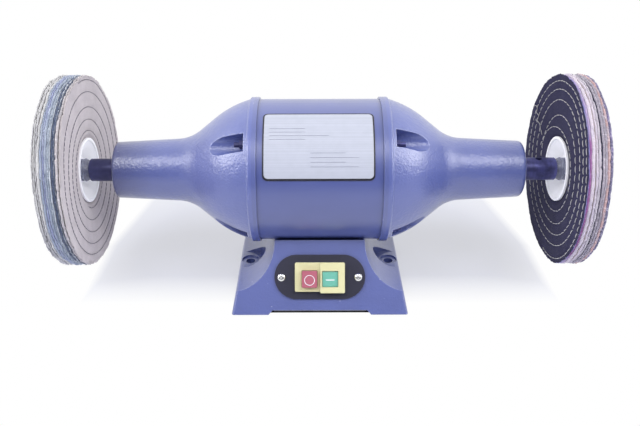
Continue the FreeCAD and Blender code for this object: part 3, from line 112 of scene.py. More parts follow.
class Wiring:
    """Adds nodes to one shader tree and links them."""

    def __init__(self, tree: Tree) -> None:
        """Starts on a material's, a world's or a group's tree."""
        self.tree = tree

    def put(self, socket: Socket, value: Value) -> None:
        """Links a socket to an output, or writes a plain value on it."""
        if isinstance(value, Socket):
            self.tree.links.new(value, socket)
        else:
            socket.default_value = value

    def fill(self, node: Node, inputs: Inputs) -> None:
        """Puts values or outputs on a node's inputs by name."""
        for name, value in inputs.items():
            self.put(node.inputs[name], value)

    def node(self, kind: str, inputs: Inputs | None = None, **settings: Value) -> Node:
        """Adds a node.

        Args:
            kind: The node's type without its ShaderNode prefix.
            inputs: Values or outputs by input name.
            **settings: Properties of the node.

        Returns:
            The new node.
        """
        made = self.tree.nodes.new(f"ShaderNode{kind}")
        for name, value in settings.items():
            setattr(made, name, value)
        self.fill(made, inputs or {})
        return made

    def math(self, operation: str, *values: Value) -> Socket:
        """The result of a Math node."""
        made = self.node("Math", operation=operation)
        for socket, value in zip(made.inputs, values):
            self.put(socket, value)
        return made.outputs[0]

    def times(self, first: Value, second: Value) -> Socket:
        """A product."""
        return self.math("MULTIPLY", first, second)

    def plus(self, first: Value, second: Value) -> Socket:
        """A sum."""
        return self.math("ADD", first, second)

    def rest(self, share: Value) -> Socket:
        """What a share leaves of one."""
        return self.math("SUBTRACT", 1.0, share)

    def larger(self, first: Value, second: Value) -> Socket:
        """The larger of two values."""
        return self.math("MAXIMUM", first, second)

    def size(self, value: Value) -> Socket:
        """A value without its sign."""
        return self.math("ABSOLUTE", value)

    def ripple(self, value: Value, rate: float = TURN / 2) -> Socket:
        """Even ridges, at a rate of pi one for each unit."""
        return self.size(self.math("SINE", self.times(value, rate)))

    def span(self, value: Value, low: float, high: float, first: float = 0.0, last: float = 1.0) -> Socket:
        """Maps low to high onto first to last, clamped."""
        inputs = {"Value": value, "From Min": low, "From Max": high, "To Min": first, "To Max": last}
        return self.node("MapRange", inputs, clamp=True).outputs[0]

    def blend(self, factor: Value, first: Value, second: Value) -> Socket:
        """Mixes two colours."""
        made = self.node("Mix", data_type="RGBA", blend_type="MIX")
        for number, value in ((0, factor), (6, first), (7, second)):
            self.put(made.inputs[number], value)
        return made.outputs[2]

    def here(self) -> Socket:
        """Object coordinates."""
        return self.node("TexCoord").outputs["Object"]

    def place(self, centre: Point = (0.0, 0.0, 0.0)) -> Socket:
        """Object coordinates measured from a centre."""
        inputs = {"Vector": self.here(), "Location": tuple(-part for part in centre)}
        return self.node("Mapping", inputs, vector_type="POINT").outputs[0]

    def axes(self, point: Socket) -> list[Socket]:
        """The X, Y and Z of a vector."""
        return list(self.node("SeparateXYZ", {"Vector": point}).outputs)

    def grain(self, point: Socket, scale: Value, detail: float = 2.0, roughness: float = 0.5) -> Socket:
        """Noise at a scale."""
        inputs = {"Vector": point, "Scale": scale, "Detail": detail, "Roughness": roughness}
        return self.node("TexNoise", inputs).outputs[0]

    def noise(self, point: Socket, size: float, detail: float = 2.0, roughness: float = 0.5) -> Socket:
        """Noise whose blotches are about size metres wide."""
        return self.grain(point, 1 / size, detail, roughness)

    def reach(self, first: Value, second: Value) -> Socket:
        """Length of a pair of coordinates."""
        return self.math("SQRT", self.plus(self.times(first, first), self.times(second, second)))

    def rounded(self, radius: Value, samples: int = 6) -> Socket:
        """A normal that runs round sharp edges as if they were rounded to a radius."""
        return self.node("Bevel", {"Radius": radius}, samples=samples).outputs[0]

    def bump(self, height: Value, depth: float, below: Socket | None = None) -> Socket:
        """A normal from a height of 0 to 1 that stands for depth metres."""
        made = self.node("Bump", {"Height": height, "Distance": depth, "Strength": 1.0})
        if below is not None:
            self.put(made.inputs["Normal"], below)
        return made.outputs[0]

    def group(self, tree: Tree, **inputs: Value) -> Sockets:
        """The outputs of a node group; an input's underscores stand for spaces."""
        made = self.node("Group", node_tree=tree)
        self.fill(made, {name.replace("_", " "): value for name, value in inputs.items()})
        return made.outputs


Wire = Callable[[Wiring, Sockets], Sequence[Socket]]


def effect(*outputs: str, **inputs: Value) -> Callable[[Wire], Callable[[], Tree]]:
    """Turns a wiring function into a shader node group that several finishes share.

    Args:
        *outputs: Names of the group's outputs, each a single value.
        **inputs: Starting value of each input; underscores stand for spaces and a triple makes a vector.

    Returns:
        A decorator that gives a function whose result is the group, built on first use.
    """

    def decorate(wire: Wire) -> Callable[[], Tree]:
        """Wraps one wiring function."""

        def group() -> Tree:
            """The group that has the wiring function's name."""
            found = bpy.data.node_groups.get(wire.__name__)
            if found:
                return found
            tree = bpy.data.node_groups.new(wire.__name__, "ShaderNodeTree")
            for label, value in inputs.items():
                kind = "NodeSocketVector" if isinstance(value, tuple) else "NodeSocketFloat"
                made = tree.interface.new_socket(label.replace("_", " "), in_out="INPUT", socket_type=kind)
                made.default_value = value
            for label in outputs:
                tree.interface.new_socket(label, in_out="OUTPUT", socket_type="NodeSocketFloat")
            w = Wiring(tree)
            given = tree.nodes.new("NodeGroupInput").outputs
            result = tree.nodes.new("NodeGroupOutput")
            w.fill(result, dict(zip(outputs, wire(w, given))))
            return tree

        return group

    return decorate


@effect("Height", "Blotch", Peel_Scale=900.0, Skin_Scale=180.0)
def casting_grain(w: Wiring, given: Sockets) -> Sequence[Socket]:
    """Orange peel of sprayed enamel over the coarser skin of a casting."""
    point = w.here()
    peel, skin = w.grain(point, given["Peel Scale"]), w.grain(point, given["Skin Scale"], 3.0)
    return w.plus(w.times(peel, 0.6), w.times(skin, 0.4)), w.span(w.grain(point, 22.0), 0.35, 0.65)


@effect("Mask", Reach=0.8 * MM, Patchiness=0.5)
def edge_wear(w: Wiring, given: Sockets) -> Sequence[Socket]:
    """Mask of sharp edges, broken up as handling breaks them up."""
    dot = w.node("VectorMath", operation="DOT_PRODUCT")
    w.put(dot.inputs[0], w.rounded(given["Reach"], samples=4))
    w.put(dot.inputs[1], w.node("NewGeometry").outputs["Normal"])
    edge = w.span(w.rest(dot.outputs["Value"]), 0.01, 0.12)
    kept, patchiness = w.span(w.grain(w.here(), 160.0, 3.0), 0.4, 0.6), given["Patchiness"]
    return [w.times(edge, w.plus(w.times(kept, patchiness), w.rest(patchiness)))]


@effect("Mask", Scale=260.0, Size=0.07, Share=0.1)
def specks(w: Wiring, given: Sockets) -> Sequence[Socket]:
    """Mask of sparse specks of lint and dust, and of painted glints on the steel collars."""
    cells = w.node("TexVoronoi", {"Vector": w.here(), "Scale": given["Scale"]}).outputs
    near = w.math("LESS_THAN", cells["Distance"], given["Size"])
    chance = w.node("SeparateColor", {"Color": cells["Color"]}).outputs[0]
    return [w.times(near, w.math("LESS_THAN", chance, given["Share"]))]


@effect("Height", "Streak", Along=0.0, Across=(0.0, 0.0, 0.0), Scale=3000.0)
def tool_marks(w: Wiring, given: Sockets) -> Sequence[Socket]:
    """Fine lines that a turning tool or a brush leaves along one coordinate."""
    track = w.times(given["Along"], given["Scale"])
    lines, broad = (
        w.node("TexNoise", {"W": way, "Scale": 1.0, "Detail": detail}, noise_dimensions="1D").outputs[0]
        for way, detail in ((w.plus(track, w.grain(given["Across"], 40.0)), 3.0), (w.times(track, 0.15), 2.0))
    )
    return lines, w.span(broad, 0.35, 0.65)


@effect("Height", "Over", "Slub", Warp=0.0, Weft=0.0, Thread=0.6 * MM, Twill=0.0)
def weave(w: Wiring, given: Sockets) -> Sequence[Socket]:
    """Plain or twill weave across a plane given by two coordinates."""
    u, v = (w.math("DIVIDE", given[way], given["Thread"]) for way in ("Warp", "Weft"))
    column, step = w.math("FLOOR", u), w.plus(w.math("FLOOR", u), w.math("FLOOR", v))
    plain = w.math("FLOORED_MODULO", step, 2.0)
    twill = w.math("LESS_THAN", w.math("FLOORED_MODULO", step, 3.0), 2.0)
    over = w.plus(w.times(plain, w.rest(given["Twill"])), w.times(twill, given["Twill"]))
    top = w.plus(w.times(over, w.ripple(u)), w.times(w.rest(over), w.times(w.ripple(v), 0.8)))
    row = w.node("CombineXYZ", {"X": column, "Y": w.times(v, 0.03)}).outputs[0]
    return top, over, w.span(w.grain(row, 0.9), 0.3, 0.7)


@effect("Height", "Line", "Ends", Depth=0.0, Place=(0.0, 0.0, 0.0), Layer=0.5 * MM)
def cut_edge(w: Wiring, given: Sockets) -> Sequence[Socket]:
    """Layers of cut cloth seen on edge: lines along the rim with loose thread ends."""
    place = given["Place"]
    depth = w.plus(w.math("DIVIDE", given["Depth"], given["Layer"]), w.times(w.grain(place, 55.0), 1.6))
    line, ends, tufts = w.ripple(depth), w.grain(place, 1500.0, 2.0, 0.7), w.grain(place, 420.0, 2.0, 0.6)
    height = w.plus(w.times(line, 0.6), w.times(ends, 0.4))
    return height, line, w.larger(w.span(ends, 0.56, 0.68), w.span(tufts, 0.57, 0.66))


# --- finishes -----------------------------------------------------------------------------------------------


@dataclass(frozen=True)
class Finish:
    """A named finish that becomes one material."""

    name: str
    colour: Colour
    roughness: float

    def material(self) -> bpy.types.Material:
        """The finish's material, made on first use."""
        found = bpy.data.materials.get(self.name)
        if found:
            return found
        made = bpy.data.materials.new(self.name)
        made.use_nodes = True
        made.diffuse_color = self.colour
        w = Wiring(made.node_tree)
        w.fill(made.node_tree.nodes["Principled BSDF"], {"Roughness": self.roughness, **self.wire(w)})
        return made

    def uneven(self, w: Wiring, pattern: Socket, smoother: float, rougher: float) -> Socket:
        """Roughness that follows a pattern, from smoother to rougher than the finish's own."""
        return w.span(pattern, 0.3, 0.7, self.roughness - smoother, self.roughness + rougher)

    def wire(self, w: Wiring) -> Inputs:
        """The shader's inputs, with the finish's own pattern wired into them."""
        raise NotImplementedError


@dataclass(frozen=True)
class Enamel(Finish):
    """Sprayed enamel over a casting or a rolled shell.

    With smooth_within it is a bell's: smooth and given a painted shade near to the middle, and a painted
    shadow of the left buff towards the left arm's end, between buff_shadow_to and buff_shadow_from.
    """

    worn: Colour
    peel: float = 900.0
    skin: float = 180.0
    depth: float = 0.16 * MM
    dust_and_glint_share: float = 0.03
    dust_and_glint: Colour = srgb(205, 208, 228)
    smooth_within: float = 0.0
    band_shade: float = 0.14
    joint: float = 0.0
    joint_width: float = 4 * MM
    joint_shade: float = 0.3
    # Painted shadow of the left buff over the left arm's end: its strength, its colour and where it runs.
    lee: float = 0.55
    buff_shadow_colour: Colour = (0.0, 0.0, 0.04, 1.0)
    buff_shadow_from: float = -212 * MM
    buff_shadow_to: float = -172 * MM
    edge: float = 0.8 * MM
    gloss: float = 0.8
    # Share of the worn colour on sharp edges, which stands for wear and also for a painted highlight.
    rub_and_highlight: float = 0.4
    coat: float = 1.0
    coat_roughness: float = 0.32

    def wire(self, w: Wiring) -> Inputs:
        """Orange peel, edge wear and painted highlight, blotches, painted joint shade, dust and painted
        glints.
        """
        grain = w.group(casting_grain(), Peel_Scale=self.peel, Skin_Scale=self.skin)
        # Sharp edges take the pale worn colour: wear, and a painted highlight along the edge.
        wear = w.group(edge_wear(), Reach=1.0 * MM, Patchiness=0.35)["Mask"]
        # Pale specks: dust, and on the steel collars painted glints.
        dust_and_glint = w.group(specks(), Scale=240.0, Size=0.09, Share=self.dust_and_glint_share)["Mask"]
        tone = w.blend(grain["Blotch"], toned(self.colour, 0.92), self.colour)
        x = w.axes(w.place())[0]
        along = w.size(x)
        # Painted shade: the enamel darkens towards its joint with the bells, where the rim shades it.
        if self.joint:
            shade = w.span(along, self.joint - self.joint_width, self.joint, 0.0, self.joint_shade)
            tone = w.blend(w.times(shade, shade), tone, toned(self.colour, 0.1))
        rubbed, height, smooth = w.times(wear, self.rub_and_highlight), grain["Height"], self.smooth_within
        if smooth:
            # Painted shade: the band within smooth_within of the middle is darkened towards black by
            # band_shade.
            tone = w.blend(w.span(along, smooth - 1 * MM, smooth, self.band_shade, 0.0), tone, BLACK)
            # Painted shadow of the left buff, darkest at the left arm's end.
            tone = w.blend(w.span(x, self.buff_shadow_from, self.buff_shadow_to, self.lee, 0.0), tone, self.buff_shadow_colour)
            rubbed = w.times(rubbed, w.span(along, smooth - 2 * MM, smooth))
            height = w.times(height, w.span(along, smooth, smooth + 3 * MM))
        grained = w.bump(height, self.depth, w.rounded(self.edge))
        return {
            "Base Color": w.blend(dust_and_glint, w.blend(rubbed, tone, self.worn), self.dust_and_glint),
            "Roughness": self.uneven(w, grain["Height"], 0.05, 0.08),
            "Normal": grained,
            "Coat Normal": grained,
            "Specular IOR Level": self.gloss,
            "Coat Weight": self.coat,
            "Coat Roughness": self.coat_roughness,
        }


class Lay(Enum):
    """Which way a metal's tool marks run."""

    ROUND_SHAFT = "rings along the shaft"
    FACED = "rings about the shaft on a flat face"
    BRUSHED = "straight lines along the shaft"


@dataclass(frozen=True)
class Metal(Finish):
    """Machined or plated metal, whose right half may have a lighter colour of its own as painted light, and a
    painted glow.
    """

    lay: Lay = Lay.ROUND_SHAFT
    marks: float = 2500.0
    depth: float = 0.02 * MM
    metallic: float = 1.0
    worn: Colour = srgb(205, 208, 214)
    wear: float = 0.3
    tarnish: float = 1.0
    streaks: float = 0.25
    edge: float = 0.25 * MM
    right: Colour | None = None
    # Emission strength: a painted glow, for a part that is no lamp.
    glow: float = 0.0

    def wire(self, w: Wiring) -> Inputs:
        """Tool marks, a faint tarnish, bright worn edges and an optional painted glow."""
        point = w.place((0.0, 0.0, SHAFT_HEIGHT))
        x, y, z = w.axes(point)
        along = {Lay.ROUND_SHAFT: x, Lay.FACED: w.reach(y, z), Lay.BRUSHED: z}[self.lay]
        marks = w.group(tool_marks(), Along=along, Across=point, Scale=self.marks)
        tarnish = w.noise(point, 9 * MM, 3.0)
        wear = w.group(edge_wear(), Reach=0.5 * MM, Patchiness=0.5)["Mask"]
        dull = toned(self.colour, 0.72)
        # A lighter right half is painted light on that end.
        base = w.blend(w.span(x, -0.1, 0.1), self.colour, self.right) if self.right else self.colour
        tone = w.blend(w.span(tarnish, 0.4, 0.75, 0.0, self.tarnish), base, dull)
        streaked = w.blend(w.times(marks["Streak"], self.streaks), tone, dull)
        return {
            "Base Color": w.blend(w.times(wear, self.wear), streaked, self.worn),
            "Roughness": self.uneven(w, tarnish, 0.05, 0.1),
            "Normal": w.bump(marks["Height"], self.depth, w.rounded(self.edge)),
            "Metallic": self.metallic,
            # Painted glow in the finish's own colour.
            "Emission Color": self.colour,
            "Emission Strength": self.glow,
        }


@dataclass(frozen=True)
class Plastic(Finish):
    """Moulded plastic or rubber with a fine spark-eroded grain."""

    grain: float = 2600.0
    depth: float = 0.03 * MM
    rubbed: Colour = srgb(210, 210, 210)
    wear: float = 0.25
    glow: float = 0.0
    glow_depth: Point = (1.2 * MM, 0.9 * MM, 0.6 * MM)
    edge: float = 0.5 * MM

    def wire(self, w: Wiring) -> Inputs:
        """Mould grain, slight tone drift and rubbed edges."""
        grain = w.group(casting_grain(), Peel_Scale=self.grain, Skin_Scale=self.grain / 6)
        wear = w.group(edge_wear(), Reach=0.4 * MM, Patchiness=0.5)["Mask"]
        tone = w.blend(grain["Blotch"], toned(self.colour, 0.94), self.colour)
        return {
            "Base Color": w.blend(w.times(wear, self.wear), tone, self.rubbed),
            "Roughness": self.uneven(w, grain["Height"], 0.04, 0.06),
            "Normal": w.bump(grain["Height"], self.depth, w.rounded(self.edge)),
            "Subsurface Weight": self.glow,
            "Subsurface Radius": self.glow_depth,
        }


@dataclass(frozen=True)
class Cloth(Finish):
    """Woven cotton in a stack, seen on its face and on its cut edge."""

    thread_colour: Colour
    second: Colour
    rim: float = 97.5 * MM
    rim_fade: float = 1.5 * MM
    thread: float = 0.7 * MM
    twill: float = 0.0
    layer: float = 0.55 * MM
    ends_share: float = 0.5
    over_share: float = 0.22
    soiling: float = 0.25
    patch: float = 26 * MM
    front_second: bool = False
    sheen: float = 0.2
    weave_depth: float = 0.12 * MM
    layer_depth: float = 0.3 * MM

    def wire(self, w: Wiring) -> Inputs:
        """Weave on the face, cut layers on the rim, slubs, soiling and a soft sheen."""
        point = w.place((0.0, 0.0, SHAFT_HEIGHT))
        x, y, z = w.axes(point)
        face = w.group(weave(), Warp=y, Weft=z, Thread=self.thread, Twill=self.twill)
        edge = w.group(cut_edge(), Depth=x, Place=point, Layer=self.layer)
        rim = w.span(w.reach(y, z), self.rim - self.rim_fade, self.rim)
        mottle = w.noise(point, self.patch)
        if self.front_second:
            patch = w.span(w.plus(w.times(y, -1.0), w.times(mottle, 24 * MM)), 82 * MM, 92 * MM)
        else:
            patch = w.span(mottle, 0.5, 0.62)
        tone, dark = w.blend(patch, self.colour, self.second), toned(self.colour, 0.45)
        woven = w.blend(w.times(face["Over"], self.over_share), tone, self.thread_colour)
        slubbed = w.blend(w.times(face["Slub"], self.over_share * 0.7), woven, self.thread_colour)
        lined = w.blend(w.times(w.span(edge["Line"], 0.0, 0.45, 0.55, 0.0), rim), slubbed, dark)
        frayed = w.blend(w.times(w.times(edge["Ends"], rim), self.ends_share), lined, self.thread_colour)
        soil = w.span(w.noise(point, 14 * MM, 4.0, 0.6), 0.45, 0.8, 0.0, self.soiling)
        woven_normal = w.bump(face["Height"], self.weave_depth)
        return {
            "Base Color": w.blend(soil, frayed, dark),
            "Normal": w.bump(w.times(edge["Height"], rim), self.layer_depth, woven_normal),
            "Sheen Weight": self.sheen,
            "Sheen Roughness": 0.5,
            "Specular IOR Level": 0.15,
        }


@dataclass(frozen=True)
class Yarn(Finish):
    """Twisted sewing thread."""

    sheen: float = 0.3

    def wire(self, w: Wiring) -> Inputs:
        """A short twist pattern and worn fibres."""
        twist = w.noise(w.place(), 0.5 * MM, 3.0, 0.6)
        return {
            "Base Color": w.blend(w.span(twist, 0.35, 0.65), toned(self.colour, 0.6), self.colour),
            "Normal": w.bump(twist, 0.1 * MM),
            "Sheen Weight": self.sheen,
        }


@dataclass(frozen=True)
class Laminate(Finish):
    """Stacked steel laminations or wound copper, with lines square to the shaft."""

    spacing: float = 0.5 * MM
    metallic: float = 1.0

    def wire(self, w: Wiring) -> Inputs:
        """Evenly spaced fine grooves with a little scatter."""
        point = w.place()
        wave = w.ripple(w.axes(point)[0], math.pi / self.spacing)
        scattered_wave = w.times(wave, w.noise(point, 3 * MM, 3.0))
        return {
            "Base Color": w.blend(scattered_wave, toned(self.colour, 0.55), self.colour),
            "Normal": w.bump(wave, 0.1 * MM),
            "Metallic": self.metallic,
        }


BLUE = srgb(78, 90, 153)
# Pale blue of worn enamel edges, which is also a painted highlight.
RUBBED_HIGHLIGHT_BLUE = srgb(176, 184, 224)
CASTING_PAINT = Enamel("casting_enamel", BLUE, 0.4, worn=RUBBED_HIGHLIGHT_BLUE)
# The bells' strong edge lightening is a painted highlight round the pocket mouths as well as wear.
BELL_PAINT = Enamel("bell_enamel", srgb(80, 92, 156), 0.36, worn=RUBBED_HIGHLIGHT_BLUE, smooth_within=67 * MM,
                    depth=0.75 * MM, peel=480.0, skin=170.0, rub_and_highlight=0.8, coat_roughness=0.3)
# Its colour is darker than the bells' enamel as a painted shade on the drum.
DRUM_PAINT = Enamel("drum_enamel", srgb(68, 80, 143), 0.36, worn=RUBBED_HIGHLIGHT_BLUE, depth=0.02 * MM, skin=60.0,
                    dust_and_glint_share=0.0, joint=62 * MM, joint_shade=0.55, rub_and_highlight=0.1)
PEDESTAL_PAINT = Enamel("pedestal_enamel", BLUE, 0.42, worn=RUBBED_HIGHLIGHT_BLUE, depth=0.25 * MM, peel=480.0,
                        dust_and_glint_share=0.05)
COVER_PAINT = Enamel("black_enamel", srgb(32, 32, 38), 0.5, worn=srgb(90, 90, 96), dust_and_glint_share=0.0)
# The collars' many pale specks are painted glints, and their pale edges are partly a painted highlight.
CAST_STEEL = Enamel("rough_steel", srgb(66, 70, 100), 0.36, worn=srgb(188, 194, 216), peel=700.0, skin=300.0,
                    depth=0.9 * MM, dust_and_glint_share=0.4, coat=0.6, rub_and_highlight=0.8)
# The shaft's lighter right half is painted light: that end looks more brightly lit than the left.
BLACK_STEEL = Metal("blackened_steel", srgb(62, 63, 104), 0.36, worn=srgb(120, 122, 160), wear=0.35,
                    metallic=0.5, right=srgb(84, 85, 142))
ZINC = Metal("zinc_plate", srgb(215, 217, 224), 0.28)
CHROME = Metal("chrome_plate", srgb(244, 245, 248), 0.2, tarnish=0.0, marks=1200.0, wear=0.0)
# Near-white and barely metallic as a painted reflection of white surroundings, and glowing as painted light.
ZINC_DISH = Metal("zinc_dish", srgb(250, 250, 255), 0.45, lay=Lay.FACED, marks=900.0, tarnish=0.0,
                  metallic=0.1, depth=0.01 * MM, wear=0.0, glow=0.08)
BARE_PLATE = Metal("brushed_foil", srgb(171, 175, 190), 0.65, lay=Lay.BRUSHED, marks=5000.0, metallic=0.0,
                   wear=0.0, tarnish=0.15)
INK_AND_SHADOW_BLACK = Plastic("ink_and_shadow_black", srgb(26, 26, 40), 0.45)
GREY_INK = Plastic("grey_ink", srgb(132, 136, 158), 0.5)
WHITE_PLASTIC = Plastic("white_inlay", srgb(244, 244, 248), 0.4)

DRESS = {
    "housing_paint": CASTING_PAINT,
    "black_paint": COVER_PAINT,
    "zinc_steel": ZINC,
    "zinc_flange": ZINC_DISH,
    "black_steel": BLACK_STEEL,
    "bearing_steel": Metal("ground_steel", srgb(190, 192, 196), 0.16),
    "lamination": Laminate("lamination_stack", srgb(120, 122, 128), 0.45),
    "copper": Laminate("enamelled_copper", srgb(176, 92, 48), 0.35, spacing=0.9 * MM),
    "cage_aluminium": Metal("cast_aluminium", srgb(178, 180, 184), 0.45),
    "label_plate": BARE_PLATE,
    "rubber_seal": Plastic("seal_rubber", srgb(28, 28, 34), 0.62),
    "black_plastic": Plastic("black_moulding", srgb(40, 40, 58), 0.42, rubbed=srgb(110, 108, 120)),
    "white_plastic": WHITE_PLASTIC,
    "yellow_plastic": Plastic("yellow_moulding", srgb(209, 205, 162), 0.36, rubbed=srgb(250, 246, 215),
                              glow=0.1, edge=1.2 * MM),
    "red_plastic": Plastic("red_moulding", srgb(170, 94, 112), 0.38, rubbed=srgb(228, 150, 168), glow=0.1),
    "green_plastic": Plastic("green_moulding", srgb(106, 176, 160), 0.38, rubbed=srgb(150, 220, 200),
                             glow=0.1),
    "capacitor_can": Metal("drawn_aluminium", srgb(200, 202, 206), 0.3),
}
OWN_DRESS = {
    "motor_drum": DRUM_PAINT,
    "left_end_bell": BELL_PAINT,
    "right_end_bell": BELL_PAINT,
    "base_casting": PEDESTAL_PAINT,
    "left_spindle_collar": CAST_STEEL,
    "right_spindle_collar": CAST_STEEL,
}


# --- modelling helpers --------------------------------------------------------------------------------------


def deselect() -> None:
    """Leaves edit mode with nothing selected."""
    if bpy.context.object and bpy.context.object.mode != "OBJECT":
        bpy.ops.object.mode_set(mode="OBJECT")
    bpy.ops.object.select_all(action="DESELECT")


def choose(*pieces: Piece) -> None:
    """Selects pieces alone and makes the first one active."""
    deselect()
    for piece in pieces:
        piece.select_set(True)
    bpy.context.view_layer.objects.active = pieces[0]


def christen(name: str) -> Piece:
    """Names the active object and its mesh."""
    piece = bpy.context.object
    piece.name = name
    piece.data.name = name
    return piece


def linked(name: str, data: bpy.types.ID) -> Piece:
    """A new object in the scene that holds a mesh, a curve, a lamp or a camera."""
    made = bpy.data.objects.new(name, data)
    bpy.context.scene.collection.objects.link(made)
    return made


@contextmanager
def reshaping(piece: Piece) -> Iterator[np.ndarray]:
    """The piece's vertices as rows of X, Y and Z, written back at the end."""
    points = points_of(piece)
    yield points
    piece.data.vertices.foreach_set("co", points.ravel())
    piece.data.update()


@contextmanager
def editing() -> Iterator[None]:
    """Edit mode on the active piece, which starts with all of it selected."""
    bpy.ops.object.mode_set(mode="EDIT")
    bpy.ops.mesh.select_all(action="SELECT")
    yield
    bpy.ops.object.mode_set(mode="OBJECT")


def pull(move: Point) -> None:
    """Extrudes what is selected by a move."""
    bpy.ops.mesh.extrude_region_move(TRANSFORM_OT_translate={"value": move})


def slice_up(axis: int, places: Iterable[float]) -> None:
    """Cuts the piece in edit mode square to an axis, 0 to 2, at each place along it."""
    way = np.eye(3)[axis]
    for place in places:
        bpy.ops.mesh.select_all(action="SELECT")
        bpy.ops.mesh.bisect(plane_co=(way * place).tolist(), plane_no=way.tolist())


def close_up(smooth: float) -> None:
    """Merges the active piece's doubles, turns its faces out and smooths edges under an angle in degrees."""
    with editing():
        bpy.ops.mesh.remove_doubles(threshold=WELD)
        bpy.ops.mesh.normals_make_consistent(inside=False)
    bpy.ops.object.shade_smooth_by_angle(angle=math.radians(smooth))


def hand_over(piece: Piece, finishes: Sequence[Finish], body: str) -> None:
    """Dresses a piece, sets it on its body and reports it.

    Args:
        piece: The finished object.
        finishes: One finish for each of its material slots.
        body: The construction body that it rides on.
    """
    piece.data.materials.clear()
    for finish in finishes:
        piece.data.materials.append(finish.material())
    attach(piece, body)
    LOG.info("%s: %d faces on %s", piece.name, len(piece.data.polygons), body)


def chain(name: str, start: Point, moves: Iterable[Point]) -> Piece:
    """Edges pulled one after another out of a single point.

    Args:
        name: The new object's name.
        start: Where the point lies.
        moves: The edges, each as its move from the one before.

    Returns:
        The new object, left in edit mode.
    """
    deselect()
    bpy.ops.mesh.primitive_plane_add(size=MM)
    piece = christen(name)
    bpy.ops.object.mode_set(mode="EDIT")
    bpy.ops.mesh.select_all(action="SELECT")
    bpy.ops.mesh.merge(type="CENTER")
    bpy.ops.transform.translate(value=start)
    for move in moves:
        pull(move)
    return piece


def turned(name: str, outline: Sequence[Pair], steps: int, height: float) -> Piece:
    """Spins a closed outline round the shaft line.

    Args:
        name: The new object's name.
        outline: Points as (x, radius), in order round the outline.
        steps: Steps of the full turn.
        height: Height of the shaft line.

    Returns:
        The new object, smooth and closed.
    """
    ends = zip(outline, [*outline[1:], outline[0]])
    moves = [(next_x - x, 0, next_radius - radius) for (x, radius), (next_x, next_radius) in ends]
    piece = chain(name, (outline[0][0], 0, height + outline[0][1]), moves)
    bpy.ops.mesh.select_all(action="SELECT")
    bpy.ops.mesh.remove_doubles(threshold=WELD)
    bpy.ops.mesh.spin(steps=steps, angle=TURN, center=(0, 0, height), axis=(1, 0, 0))
    bpy.ops.object.mode_set(mode="OBJECT")
    close_up(40)
    return piece


def card(name: str, width: float, height: float, corner: float) -> Piece:
    """A flat card about the origin in the XY plane.

    Args:
        name: The new object's name.
        width: Its size along X.
        height: Its size along Y.
        corner: Radius of its corners, or 0.

    Returns:
        The card, left in edit mode with all of it selected.
    """
    deselect()
    bpy.ops.mesh.primitive_plane_add(size=1.0)
    piece = christen(name)
    bpy.ops.object.mode_set(mode="EDIT")
    bpy.ops.mesh.select_all(action="SELECT")
    bpy.ops.transform.resize(value=(width, height, 1))
    if corner:
        bpy.ops.mesh.bevel(offset=corner, segments=8, affect="VERTICES")
    bpy.ops.mesh.select_all(action="SELECT")
    return piece


def joined(name: str, pieces: Sequence[Piece]) -> Piece:
    """Joins two or more pieces into one."""
    choose(*pieces)
    bpy.ops.object.join()
    return christen(name)


def points_of(piece: Piece) -> np.ndarray:
    """The piece's vertices as rows of X, Y and Z."""
    flat = np.empty(len(piece.data.vertices) * 3)
    piece.data.vertices.foreach_get("co", flat)
    return flat.reshape(-1, 3)


def scattered(name: str, model: Piece, places: Sequence[Matrix]) -> Piece:
    """One object that holds a copy of a small model at each place.

    Args:
        name: The new object's name.
        model: The model, which is deleted afterwards.
        places: Where each copy goes.

    Returns:
        The new object.
    """
    source = points_of(model)
    faces = [tuple(face.vertices) for face in model.data.polygons]
    points, polygons = [], []
    for number, place in enumerate(places):
        points.append(source @ np.array(place.to_3x3()).T + np.array(place.translation))
        polygons += [tuple(i + number * len(source) for i in face) for face in faces]
    mesh = bpy.data.meshes.new(name)
    mesh.from_pydata(np.vstack(points).tolist(), [], polygons)
    bpy.data.objects.remove(model)
    piece = linked(name, mesh)
    choose(piece)
    bpy.ops.object.shade_smooth_by_angle(angle=math.radians(60))
    return piece


def apply(piece: Piece, kind: str, **settings: Value) -> None:
    """Adds a modifier to a piece and applies it."""
    choose(piece)
    modifier = piece.modifiers.new(kind.lower(), kind)
    for name, value in settings.items():
        setattr(modifier, name, value)
    bpy.ops.object.modifier_apply(modifier=modifier.name)


# --- cloth buffs --------------------------------------------------------------------------------------------


def ramp(values: np.ndarray, low: float, high: float) -> np.ndarray:
    """Shares that rise from 0 at low to 1 at high."""
    return np.clip((values - low) / (high - low), 0, 1)


@dataclass(frozen=True)
class Ply:
    """A bundle of cloth layers in a buff: its share of the thickness and how short of the rim it ends."""

    thickness: float
    cloth: Cloth
    short: float = 0.0


